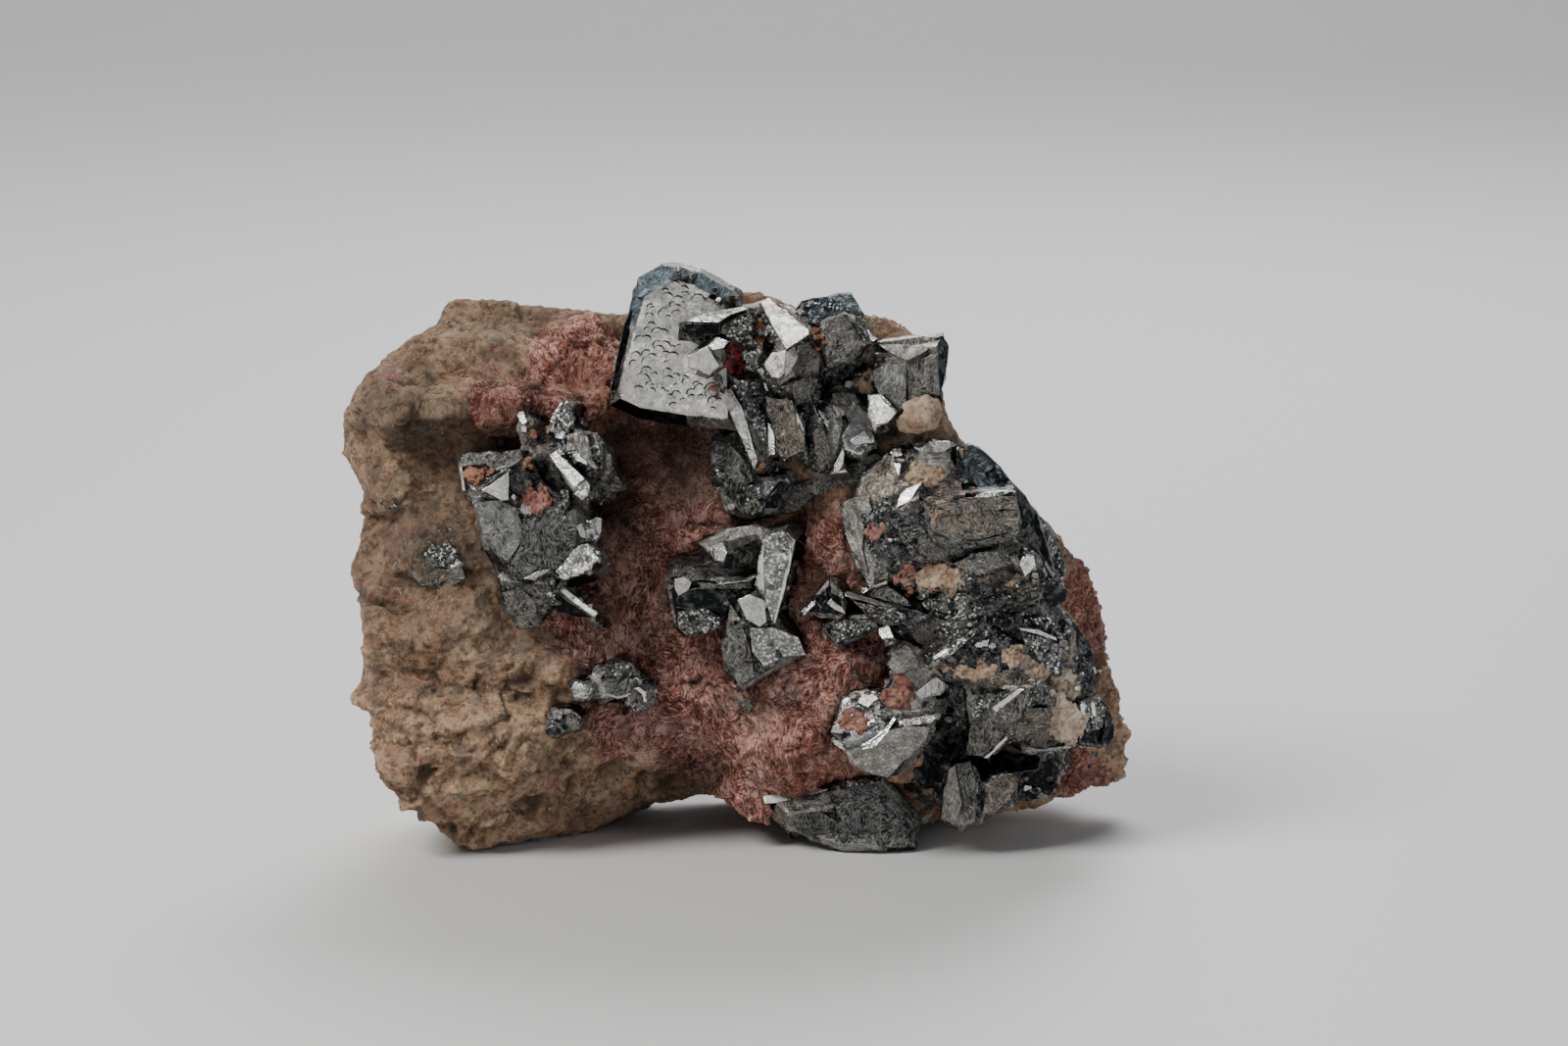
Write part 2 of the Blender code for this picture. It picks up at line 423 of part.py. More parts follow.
GROUPS = (
    ("upper_crystals", UPPER_CRYSTALS, "bright"),
    ("right_crystals", RIGHT_CRYSTALS, "bright"),
    ("foot_crystals", FOOT_CRYSTALS, "dull"),
    ("left_crystals", LEFT_CRYSTALS, "dull"),
    ("centre_crystals", CENTRE_CRYSTALS, "bright"),
    ("blade_crystals", BLADE_CRYSTALS, "bright"),
    ("small_cube", SMALL_CUBE, "bright"),
    ("small_rosette", SMALL_ROSETTE, "dull"),
    ("small_stub", SMALL_STUB, "dull"),
    ("tan_nodule", TAN_NODULE, "tan"),
)

# The rock's outline in the sight frame, clockwise from its top left peak
ROCK_OUTLINE = (
    (-32.2, 63.6), (-32.8, 62.0), (-33.3, 60.0), (-34.8, 59.2), (-37.8, 58.0), (-39.4, 56.4),
    (-41.1, 54.7), (-43.1, 53.0), (-43.9, 51.1), (-44.9, 48.3), (-45.0, 46.7), (-44.2, 45.0),
    (-43.1, 43.3), (-41.6, 42.0), (-41.9, 38.9), (-41.6, 36.1), (-43.3, 33.6), (-43.7, 31.1),
    (-42.4, 28.9), (-41.9, 24.4), (-41.3, 22.0), (-43.1, 18.9), (-43.3, 17.2), (-40.8, 15.0),
    (-40.6, 12.2), (-40.8, 7.8), (-38.9, 6.1), (-35.6, 3.9), (-31.7, 0.9), (-30.0, -0.4),
    (-26.7, -0.4), (-26.1, 1.7), (-22.8, 2.4), (-16.7, 2.2), (-14.4, 4.4), (-12.2, 6.1),
    (-5.6, 7.2), (-1.7, 6.9), (0.0, 6.1), (1.3, 3.8), (5.6, 2.7), (11.1, 2.2), (16.7, 2.2),
    (22.2, 3.9), (27.8, 4.4), (34.4, 5.3), (37.8, 6.9), (42.2, 7.4), (44.4, 8.3), (45.3, 9.4),
    (44.7, 11.7), (44.1, 14.4), (43.7, 16.7), (43.0, 20.0), (42.2, 23.3), (41.9, 25.6),
    (41.3, 30.0), (40.6, 31.7), (38.9, 33.3), (37.2, 35.0), (34.4, 38.2), (31.7, 41.8),
    (28.9, 44.4), (25.0, 46.1), (23.6, 47.8), (23.1, 52.2), (22.2, 56.9), (20.2, 59.1),
    (17.2, 61.0), (14.4, 60.9), (11.1, 61.3), (6.4, 62.0), (3.9, 63.1), (0.0, 63.4), (-5.6, 63.3),
    (-12.2, 60.6), (-21.1, 61.7), (-25.6, 62.3),
)

# Places on the rock's near surface: x and z in the sight frame, and depth
FRONT_RELIEF = (
    (-32.2, 63.3, 16.0),  # top left peak
    (-23.3, 61.3, 15.0),  # top edge
    (-12.2, 60.3, 13.0),  # top edge by the plate
    (-38.9, 57.2, 12.0),  # upper left corner
    (-44.7, 47.8, 9.0),  # left edge
    (-43.3, 43.3, 8.0),  # left edge, lower
    (-34.4, 55.0, 6.5),  # upper slope, left
    (-25.6, 55.8, 6.0),  # upper slope, middle
    (-16.7, 55.0, 6.0),  # upper slope, right
    (-39.4, 50.4, -0.5),  # ledge lip, left
    (-33.3, 49.6, -2.0),  # ledge lip
    (-26.7, 49.6, -1.5),  # ledge lip, middle
    (-16.7, 50.0, 3.0),  # ledge lip, right
    (-36.1, 46.4, 4.5),  # recess, left
    (-31.7, 46.4, 5.5),  # recess
    (-25.6, 46.7, 6.0),  # recess, middle
    (-13.9, 44.4, 8.0),  # recess, right
    (-38.9, 41.1, 1.5),  # left flank
    (-34.4, 41.1, 3.0),  # left flank, inner
    (-34.4, 34.4, -1.0),  # left flank lump
    (-37.8, 30.0, 3.5),  # gully
    (-42.0, 34.4, 5.0),  # left flank edge
    (-41.1, 38.9, 7.0),  # left notch
    (-38.9, 25.0, -1.0),  # left ridge
    (-32.2, 25.6, -2.0),  # middle ridge
    (-35.6, 20.0, 2.0),  # middle gully
    (-42.0, 18.9, 2.0),  # left shelf
    (-35.6, 16.7, -3.0),  # lower shoulder
    (-40.0, 10.0, -6.0),  # lower corner
    (-31.1, 12.2, -5.0),  # lower face
    (-24.4, 11.1, -4.5),  # lower face, right
    (-28.9, 2.2, -1.5),  # foot
    (-28.9, -0.2, 0.0),  # foot toe
    (-24.4, 3.3, 1.0),  # foot right
    (-21.1, 18.9, -1.0),  # apron
    (-15.6, 20.0, 0.5),  # apron, right
    (-21.1, 30.0, 2.0),  # behind left lump
    (-13.9, 32.2, 4.5),  # right of left lump
    (-16.7, 13.9, 0.5),  # overhang lip
    (-10.0, 12.2, 1.5),  # overhang lip, right
    (-19.4, 7.8, 4.0),  # overhang, left
    (-11.1, 8.3, 7.0),  # overhang
    (-4.4, 8.3, 8.0),  # overhang, right
    (-16.7, 3.3, 9.0),  # overhang floor
    (-5.6, 45.6, 8.0),  # fibre field, top
    (-11.1, 47.8, 8.0),  # fibre field, under plate
    (-6.7, 38.9, 5.0),  # fibre field
    (-11.1, 34.4, 4.0),  # fibre field, left
    (-11.1, 25.6, 2.5),  # fibre field, low
    (-5.6, 20.0, 1.0),  # fibre field, middle
    (1.1, 15.0, -0.5),  # fibre fold
    (8.9, 18.9, -2.5),  # fibre fold, right
    (5.6, 10.0, -2.0),  # fibre fold, low
    (2.2, 5.6, 1.0),  # fibre fold, bottom
    (1.1, 30.0, 3.0),  # centre hollow
    (9.4, 33.3, 1.0),  # centre right hollow
    (11.1, 36.1, 0.0),  # beside the shoulder
    (7.8, 38.9, 4.0),  # under the blade
    (-5.6, 57.8, 9.0),  # behind the plate
    (8.9, 56.7, 7.0),  # behind upper crystals
    (20.0, 54.4, 7.0),  # behind right block
    (17.2, 60.9, 12.0),  # top right crust
    (3.3, 63.0, 11.0),  # top crust
    (18.9, 38.9, 2.5),  # behind shoulder
    (23.3, 27.8, 2.0),  # behind middle lump
    (27.8, 20.0, 3.0),  # behind crusted step
    (34.4, 32.2, 8.0),  # behind flank
    (39.4, 31.1, 14.0),  # red strip, top
    (40.9, 24.4, 15.0),  # red strip
    (43.1, 16.7, 16.0),  # red strip, low
    (44.2, 9.1, 19.0),  # tan knob
    (38.9, 8.9, 10.0),  # red base
    (16.7, 11.1, 1.0),  # behind shell
    (10.0, 13.9, -2.5),  # red patch
    (12.2, 4.4, 4.0),  # behind foot
    (27.8, 6.1, 8.0),  # lower right
    (27.8, 12.2, 6.0),  # dark recess
)

# Flat breaks of the back: depth at the middle past BACK_DEPTH, and the lean along x and z
BACK_BREAKS = (
    (0.0, 0.02, -0.06),
    (3.5, 0.30, 0.10),
    (3.0, -0.20, -0.26),
    (4.0, 0.06, 0.36),
    (9.0, -0.16, 0.10),
)

# Where the noise that leans each facet is read for x, y and z
LEAN_SHIFTS = (Vector((9.3, -1.5, -7.9)), Vector((0.0, 0.0, 0.0)), Vector((3.7, -6.1, 2.4)))


def seen(x, z, depth):
    """The point at this depth on the line of sight through x and z of the sight frame."""
    tilt = math.radians(SIGHT_TILT)
    forward = Vector((0.0, math.cos(tilt), -math.sin(tilt)))
    upward = Vector((0.0, math.sin(tilt), math.cos(tilt)))
    eye = AIM - EYE_DISTANCE * forward
    on_plane = AIM + Vector((x - AIM_SEEN[0], 0.0, 0.0)) + (z - AIM_SEEN[1]) * upward
    ray = on_plane - eye
    return eye + ray * ((depth - eye.y) / ray.y)


def seen_on_plane(x, z, point, normal):
    """Where the line of sight through x and z meets a plane."""
    near = seen(x, z, SIGHT_NEAR)
    far = seen(x, z, SIGHT_FAR)
    ray = far - near
    return near + ray * ((point - near).dot(normal) / ray.dot(normal))


def cut(bm, point, normal):
    """Take away what lies outside a plane, and close the wound."""
    parts = bm.verts[:] + bm.edges[:] + bm.faces[:]
    bmesh.ops.bisect_plane(bm, geom=parts, dist=CUT_TOLERANCE, plane_co=point,
                           plane_no=normal, clear_outer=True)
    rim = [edge for edge in bm.edges if edge.is_boundary]
    if rim:
        bmesh.ops.holes_fill(bm, edges=rim)


def wrap(bm):
    """Rebuild a convex body cleanly from its corners."""
    corners = [vert.co.copy() for vert in bm.verts]
    bm.clear()
    for corner in corners:
        bm.verts.new(corner)
    bmesh.ops.remove_doubles(bm, verts=bm.verts[:], dist=SMALLEST_EDGE)
    bmesh.ops.convex_hull(bm, input=bm.verts[:])
    loose = [vert for vert in bm.verts if not vert.link_faces]
    bmesh.ops.delete(bm, geom=loose, context="VERTS")
    bmesh.ops.dissolve_limit(bm, angle_limit=math.radians(FLAT_ANGLE), verts=bm.verts[:],
                             edges=bm.edges[:])
    bmesh.ops.recalc_face_normals(bm, faces=bm.faces[:])


def crystal_planes(crystal, slanted=True):
    """The flat faces of one crystal, each as a point and an outward normal."""
    turn = math.radians(crystal.turn)
    tilt = math.radians(crystal.tilt)
    facing = Vector((
        math.sin(turn) * math.cos(tilt),
        -math.cos(turn) * math.cos(tilt),
        math.sin(tilt),
    ))
    across = Vector((0.0, 0.0, 1.0)).cross(facing).normalized()
    upward = facing.cross(across)
    middle_x = sum(x for x, z in crystal.outline) / len(crystal.outline)
    middle_z = sum(z for x, z in crystal.outline) / len(crystal.outline)
    middle = seen(middle_x, middle_z, crystal.depth)
    corners = [seen_on_plane(x, z, middle, facing) - middle for x, z in crystal.outline]
    flat = [Vector((corner.dot(across), corner.dot(upward))) for corner in corners]
    ring = [flat[index] for index in convex_hull_2d(flat)]
    planes = [(middle, facing), (middle - facing * crystal.thick, -facing)]
    for start, end in zip(ring, ring[1:] + ring[:1]):
        along = (end - start).normalized()
        edge_point = middle + across * start.x + upward * start.y
        out = across * along.y - upward * along.x
        if (start + end).dot(Vector((along.y, -along.x))) < 0.0:
            out = -out
        slant = (out + facing).normalized()
        planes.append((edge_point, out))
        if slanted:
            planes.append((edge_point - out * crystal.bevel, slant))
    planes.append((Vector((0.0, 0.0, 0.0)), Vector((0.0, 0.0, -1.0))))
    return planes


def grow_crystal(bm, crystal, extra=0.0):
    """Add one convex crystal to bm, or with extra its plain shape, larger all round."""
    planes = crystal_planes(crystal, slanted=extra == 0.0)
    block = bmesh.new()
    bmesh.ops.create_cube(block, size=BLOCK_SIZE)
    bmesh.ops.translate(block, verts=block.verts[:], vec=planes[0][0])
    for point, normal in planes:
        cut(block, point + normal * extra, normal)
    wrap(block)
    mesh = bpy.data.meshes.new("crystal")
    block.to_mesh(mesh)
    block.free()
    bm.from_mesh(mesh)
    bpy.data.meshes.remove(mesh)


def rock_radius(angle):
    """Distance from the rock's centre to its outline in one direction of the sight frame."""
    ray = Vector((math.cos(angle), math.sin(angle)))
    best = 0.0
    count = len(ROCK_OUTLINE)
    for index in range(count):
        start = Vector(ROCK_OUTLINE[index]) - Vector(ROCK_CENTRE)
        side = Vector(ROCK_OUTLINE[(index + 1) % count]) - Vector(ROCK_CENTRE) - start
        spread = ray.x * side.y - ray.y * side.x
        if abs(spread) < 1e-9:
            continue
        reach = (start.x * side.y - start.y * side.x) / spread
        share = (start.x * ray.y - start.y * ray.x) / spread
        if reach > 0.0 and -1e-6 <= share <= 1.0 + 1e-6:
            best = max(best, reach)
    return best


def front_depth(x, z):
    """Depth of the rock's near surface, blended from the places in FRONT_RELIEF."""
    total = 0.0
    weights = 0.0
    for place_x, place_z, depth in FRONT_RELIEF:
        gap = (x - place_x) ** 2 + (z - place_z) ** 2
        weight = 1.0 / (gap + RELIEF_SOFTNESS) ** 2
        total += weight * depth
        weights += weight
    return total / weights


def back_depth(x, z):
    """Depth of the broken back: the nearest of a few flat breaks."""
    return min(BACK_DEPTH + at_middle + lean_x * x + lean_z * (z - ROCK_CENTRE[1])
               for at_middle, lean_x, lean_z in BACK_BREAKS)


def broken_facets(point, size):
    """Height of flat facets that lean every way, one to each cell of this size."""
    centre = noise.voronoi(point / size)[1][0]
    lean = Vector([noise.noise(centre * LEAN_SPREAD + shift) for shift in LEAN_SHIFTS])
    step = noise.noise(centre * STEP_SPREAD)
    return (point / size - centre).dot(lean) * FACET_LEAN + step


def worn_radius(angle):
    """The outline towards the back, where its notches and corners fade."""
    middling = sum(rock_radius(angle + turn) for turn in WEAR_TURNS) / len(WEAR_TURNS)
    return max(middling, CORNER_WEAR * rock_radius(angle))


def rock_point(direction):
    """Where a point of the unit ball, seen along its y axis, goes on the rock."""
    latitude = math.degrees(math.asin(max(-1.0, min(1.0, -direction.y))))
    angle = math.atan2(direction.z, direction.x)
    rim = 1.0 - math.sin(math.radians(EDGE_BAND))
    share = min(1.0, math.sqrt((1.0 - abs(direction.y)) / rim))
    through = max(0.0, min(1.0, 0.5 - 0.5 * latitude / EDGE_BAND))
    loss = BACK_LOSS * through ** LOSS_CURVE * (1.0 + noise.noise(direction * LOSS_SPREAD))
    radius = rock_radius(angle) * (1.0 - through) + worn_radius(angle) * through
    reach = radius * share * (1.0 - loss)
    x = ROCK_CENTRE[0] + reach * math.cos(angle)
    z = ROCK_CENTRE[1] + reach * math.sin(angle)
    near = front_depth(x, z)
    far = max(near + LEAST_THICKNESS, back_depth(x, z))
    place = seen(x, z, near + (far - near) * through)
    calm = min(1.0, abs(latitude) / CALM_BAND)
    grit = GRIT_HEIGHT * noise.noise(place / GRIT_SIZE)
    if latitude > 0.0:
        place.y -= calm * (FACET_HEIGHT * broken_facets(place, FACET_SIZE) + grit)
    else:
        place.y += calm * (BACK_FACET_HEIGHT * broken_facets(place, BACK_FACET_SIZE) + grit)
    inward = Vector((ROCK_CENTRE[0] - x, 0.0, ROCK_CENTRE[1] - z)).normalized()
    return place + inward * (1.0 - calm) * abs(grit)


def build_rock(material):
    """The rock, with flat feet where it reaches the surface that it stands on."""
    bm = bmesh.new()
    bmesh.ops.create_icosphere(bm, subdivisions=ROCK_DETAIL, radius=1.0)
    for vert in bm.verts:
        vert.co = rock_point(vert.co.normalized())
    bmesh.ops.recalc_face_normals(bm, faces=bm.faces[:])
    rock = make_object("rock_matrix", bm, material)
    thinning = rock.modifiers.new("thinning", "DECIMATE")
    thinning.ratio = ROCK_THINNING
    settle(rock)
    bm = bmesh.new()
    bm.from_mesh(rock.data)
    cut(bm, Vector((0.0, 0.0, 0.0)), Vector((0.0, 0.0, -1.0)))
    bm.to_mesh(rock.data)
    bm.free()
    return rock


def make_material(name, colour, roughness, metallic):
    material = bpy.data.materials.new(name)
    material.use_nodes = True
    shader = material.node_tree.nodes["Principled BSDF"]
    shader.inputs["Base Color"].default_value = (*colour, 1.0)
    shader.inputs["Roughness"].default_value = roughness
    shader.inputs["Metallic"].default_value = metallic
    material.diffuse_color = (*colour, 1.0)
    return material


def make_object(name, bm, material=None):
    """Turn a mesh in sight frame millimetres into an object in metres about ORIGIN."""
    bmesh.ops.translate(bm, verts=bm.verts[:], vec=-ORIGIN)
    bmesh.ops.scale(bm, verts=bm.verts[:], vec=Vector((METRE, METRE, METRE)))
    mesh = bpy.data.meshes.new(name)
    bm.to_mesh(mesh)
    bm.free()
    obj = bpy.data.objects.new(name, mesh)
    bpy.context.scene.collection.objects.link(obj)
    if material is None:
        obj.hide_render = True
        obj.display_type = "WIRE"
    else:
        mesh.materials.append(material)
    return obj


def add_boolean(obj, tool, operation):
    modifier = obj.modifiers.new(tool.name, "BOOLEAN")
    modifier.operation = operation
    modifier.object = tool
    modifier.solver = "EXACT"
    modifier.use_self = True
    return modifier


def make_group(name, crystals, material):
    """Crystals grown together, as one solid, and the cutter that makes room for them."""
    first = bmesh.new()
    grow_crystal(first, crystals[0])
    group = make_object(name, first, material)
    if len(crystals) > 1:
        others = bmesh.new()
        for crystal in crystals[1:]:
            grow_crystal(others, crystal)
        add_boolean(group, make_object(name + "_others", others), "UNION")
    room = bmesh.new()
    for crystal in crystals:
        grow_crystal(room, crystal, FIT_GAP)
    return group, make_object(name + "_room", room)


def islands(bm):
    """The separate bodies of a mesh, as lists of corners, the largest first."""
    waiting = set(bm.verts)
    found = []
    while waiting:
        front = [waiting.pop()]
        body = []
        while front:
            vert = front.pop()
            body.append(vert)
            for edge in vert.link_edges:
                other = edge.other_vert(vert)
                if other in waiting:
                    waiting.remove(other)
                    front.append(other)
        found.append(body)
    return sorted(found, key=len, reverse=True)


def settle(obj):
    """Make the modifiers' result the object's own mesh, without crumbs or hair-thin edges."""
    depsgraph = bpy.context.evaluated_depsgraph_get()
    mesh = bpy.data.meshes.new_from_object(obj.evaluated_get(depsgraph))
    obj.modifiers.clear()
    obj.data = mesh
    bm = bmesh.new()
    bm.from_mesh(mesh)
    for crumb in islands(bm)[1:]:
        bmesh.ops.delete(bm, geom=crumb, context="VERTS")
    bmesh.ops.dissolve_degenerate(bm, dist=SHORTEST_EDGE * METRE, edges=bm.edges[:])
    bmesh.ops.triangulate(bm, faces=bm.faces[:])
    bm.to_mesh(mesh)
    bm.free()


def boxes_meet(first, second):
    """Whether the world boxes of two unturned objects overlap."""
    for axis in range(3):
        first_values = [corner[axis] for corner in first.bound_box]
        second_values = [corner[axis] for corner in second.bound_box]
        if min(first_values) > max(second_values) or min(second_values) > max(first_values):
            return False
    return True


def main():
    for obj in list(bpy.data.objects):
        bpy.data.objects.remove(obj, do_unlink=True)
    finishes = {
        "bright": make_material("dark_metallic_crystal", (0.16, 0.165, 0.17), 0.28, 1.0),
        "dull": make_material("dull_grey_crystal", (0.22, 0.22, 0.21), 0.5, 0.7),
        "tan": make_material("tan_crust", (0.55, 0.38, 0.26), 0.85, 0.0),
    }
    red_rock = make_material("red_brown_rock", (0.33, 0.18, 0.13), 0.9, 0.0)
    rooms = []
    for name, crystals, finish in GROUPS:
        group, room = make_group(name, crystals, finishes[finish])
        for earlier in rooms:
            if boxes_meet(room, earlier):
                add_boolean(group, earlier, "DIFFERENCE")
        rooms.append(room)
        settle(group)
    rock = build_rock(red_rock)
    for room in rooms:
        add_boolean(rock, room, "DIFFERENCE")
    settle(rock)


main()
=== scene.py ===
"""Looks of a mineral specimen: dark metallic crystals grown on red-brown and tan rock.

Lengths are metres. A place seen in the reference view is a pixel (u, v) of its frame of
1600 by 1067; the line of sight through it finds the surface that it belongs to.
"""
import math
import random
from collections import namedtuple

import bmesh
import bpy
import numpy
from bpy.props import FloatProperty, FloatVectorProperty, PointerProperty
from mathutils import Matrix, Vector, noise
from mathutils.bvhtree import BVHTree


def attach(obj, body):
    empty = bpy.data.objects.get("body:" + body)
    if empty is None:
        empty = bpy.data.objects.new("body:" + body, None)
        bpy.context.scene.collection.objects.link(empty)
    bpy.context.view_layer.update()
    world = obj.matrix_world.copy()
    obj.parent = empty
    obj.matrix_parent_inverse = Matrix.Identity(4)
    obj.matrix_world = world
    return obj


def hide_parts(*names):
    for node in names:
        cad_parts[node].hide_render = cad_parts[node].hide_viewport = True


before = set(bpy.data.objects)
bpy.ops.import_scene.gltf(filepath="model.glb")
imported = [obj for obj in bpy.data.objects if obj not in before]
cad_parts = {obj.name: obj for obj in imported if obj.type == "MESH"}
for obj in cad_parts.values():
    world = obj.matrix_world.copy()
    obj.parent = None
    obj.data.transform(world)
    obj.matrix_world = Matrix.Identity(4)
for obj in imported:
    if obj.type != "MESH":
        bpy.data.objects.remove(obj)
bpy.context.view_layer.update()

bl_info = {
    "name": "Crystal Specimen",
    "version": (1, 0, 0),
    "blender": (4, 5, 0),
    "location": "3D View > Sidebar > Specimen",
    "description": "Rock matrix, metallic crystals and mineral crusts of one specimen",
    "category": "Object",
}

MM = 0.001
MOST_PASSES = 10            # rounds of dividing a mesh's edges

# The reference view
VIEW_WIDTH = 1600
VIEW_HEIGHT = 1067
SENSOR_WIDTH = 36.0
EYE_DISTANCE = 0.6
PIXELS_PER_METRE = 9000.0   # at the aim point
SIGHT_TILT = math.radians(11.0)
AIM = Vector((0.0050, -0.00275, 0.0360))
FORWARD = Vector((0.0, math.cos(SIGHT_TILT), -math.sin(SIGHT_TILT)))
UPWARD = Vector((0.0, math.sin(SIGHT_TILT), math.cos(SIGHT_TILT)))
EYE = AIM - EYE_DISTANCE * FORWARD

CRYSTAL_NODES = (
    "upper_crystals", "right_crystals", "foot_crystals", "left_crystals", "centre_crystals",
    "blade_crystals", "small_cube", "small_rosette", "small_stub",
)

LOOK_VALUES = ("tone", "gloss", "painted_glint_speckle", "tint", "relief")
TONE, GLOSS, RELIEF = 0, 1, 4               # places of three of them
# Vertex values of the rock; the fourth is painted shade, and the height also sets painted light and
# shade
ROCK_VALUES = ("red", "bright", "stain", "hollow", "height")

# How a crystal face looks: tone, gloss, speckle of painted glints, tint (from -1, warm dust, to 1,
# blue) and the depth of its relief in millimetres. The tone also paints in light and shade: the
# brightest faces are painted highlights, the blackest painted shade and dark reflections.
LOOKS = {
    "mirror": (0.74, 0.90, 0.10, 0.0, 0.01),
    "painted_highlight": (1.00, 0.72, 0.00, 0.0, 0.00),
    "silver": (0.69, 0.62, 0.12, -0.1, 0.00),
    "pale": (0.40, 0.48, 0.15, -0.2, 0.06),
    "blue": (0.42, 0.80, 0.05, 0.6, 0.02),
    # The blue tint of the slate faces, on the wide plate's upper bevel, is a painted reflection of
    # bluish light
    "slate": (0.30, 0.35, 0.10, 0.9, 0.02),
    "dark": (0.10, 0.70, 0.35, 0.1, 0.05),
    "black_painted_shade": (0.00, 0.90, 0.10, 0.2, 0.01),
    "sparkle": (0.22, 0.62, 1.00, 0.0, 0.12),
    "glitter": (0.44, 0.60, 1.00, 0.0, 0.08),
    "dusk": (0.10, 0.75, 0.70, 0.7, 0.06),
    "murky": (0.15, 0.28, 0.10, 0.0, 0.05),
    "matte": (0.30, 0.15, 0.12, -0.7, 0.15),
    "grey": (0.22, 0.35, 0.22, -0.2, 0.10),
    "smooth": (0.27, 0.40, 0.08, 0.0, 0.03),
}
BRIGHT_LOOKS = ("painted_highlight", "silver", "mirror", "glitter")

# Looks of the faces that aren't listed, each up to a value of noise
COMMON_LOOKS = (
    (-0.25, "dark"), (0.0, "grey"), (0.2, "matte"), (0.38, "sparkle"), (math.inf, "pale"),
)

# Groups whose crystals are broken and grown into each other: mesh size and groove width in mm
FUSED = {
    "right_crystals": (0.36, 0.9),
    "foot_crystals": (0.36, 0.7),
    "left_crystals": (0.32, 0.5),
    "small_rosette": (0.22, 0.3),
    "small_stub": (0.22, 0.3),
}

# Faces that stand out in the reference view: a pixel on each, and its look, whose tone paints in
# the highlights, dark reflections and shade seen there
FACES = (
    (680, 370, "silver"), (665, 288, "slate"), (640, 330, "black_painted_shade"), (627, 385, "silver"),
    (632, 408, "black_painted_shade"), (720, 283, "slate"), (650, 300, "slate"), (690, 428, "black_painted_shade"),
    (730, 323, "painted_highlight"), (720, 333, "black_painted_shade"), (738, 348, "painted_highlight"), (718, 368, "pale"),
    (795, 325, "painted_highlight"), (790, 345, "sparkle"), (815, 350, "grey"), (815, 385, "pale"),
    (865, 345, "grey"), (840, 308, "sparkle"), (870, 306, "blue"), (925, 355, "pale"),
    (925, 385, "matte"), (962, 370, "black_painted_shade"), (900, 420, "mirror"), (757, 430, "pale"),
    (765, 420, "sparkle"), (787, 448, "pale"), (805, 435, "pale"), (880, 447, "mirror"),
    (856, 473, "mirror"), (790, 505, "blue"), (765, 510, "grey"), (738, 470, "murky"),
    (815, 470, "murky"), (845, 440, "pale"),
    (870, 555, "pale"), (900, 500, "matte"), (928, 505, "mirror"), (955, 458, "pale"),
    (1015, 485, "blue"), (1035, 500, "black_painted_shade"), (1070, 560, "black_painted_shade"), (990, 530, "matte"),
    (1047, 576, "painted_highlight"), (1010, 575, "matte"), (960, 600, "sparkle"), (1010, 620, "dark"),
    (1075, 640, "dark"), (1105, 650, "black_painted_shade"), (1060, 660, "sparkle"), (1075, 675, "grey"),
    (1015, 730, "pale"), (1040, 735, "matte"), (1065, 745, "grey"), (1115, 730, "mirror"),
    (1130, 750, "black_painted_shade"), (920, 675, "pale"), (905, 755, "pale"), (880, 760, "blue"),
    (940, 733, "painted_highlight"), (870, 715, "mirror"), (950, 770, "black_painted_shade"), (980, 790, "pale"),
    (1020, 805, "dark"), (1060, 790, "black_painted_shade"), (1010, 770, "black_painted_shade"),
    (860, 835, "murky"), (820, 808, "grey"), (900, 840, "murky"), (920, 800, "grey"),
    (740, 563, "painted_highlight"), (795, 590, "mirror"), (815, 570, "black_painted_shade"), (775, 650, "mirror"),
    (720, 595, "pale"), (715, 625, "black_painted_shade"), (800, 670, "dark"), (760, 575, "grey"),
    (700, 583, "grey"), (770, 540, "pale"),
    (575, 475, "painted_highlight"), (592, 500, "pale"), (600, 465, "sparkle"), (495, 462, "pale"),
    (505, 495, "pale"), (535, 550, "murky"), (590, 570, "mirror"), (603, 585, "black_painted_shade"),
    (590, 612, "pale"), (535, 615, "grey"), (570, 425, "mirror"), (600, 540, "mirror"),
    (903, 645, "painted_highlight"), (915, 618, "painted_highlight"), (905, 605, "grey"), (865, 643, "dark"),
    (830, 615, "mirror"), (845, 605, "black_painted_shade"), (900, 630, "sparkle"),
    (590, 702, "mirror"), (625, 690, "pale"), (655, 705, "grey"), (565, 735, "dark"),
)

SHARD_TAPER = 0.92          # size of a small crystal's back to that of its front
SHARD_ROOT = 1.6            # mm that it reaches into what it grows on
SHARD_BEVEL = 0.06          # mm
SHARD_STEP = 0.7            # mm, longest edge of its mesh
PLANE_SAMPLES = (0.0, 0.45, 0.9)    # shares of the way from its middle to its corners
PLANE_REACH = 4.0           # mm in depth, past which a sample isn't of the same surface
STEEPEST_PLANE = 0.8
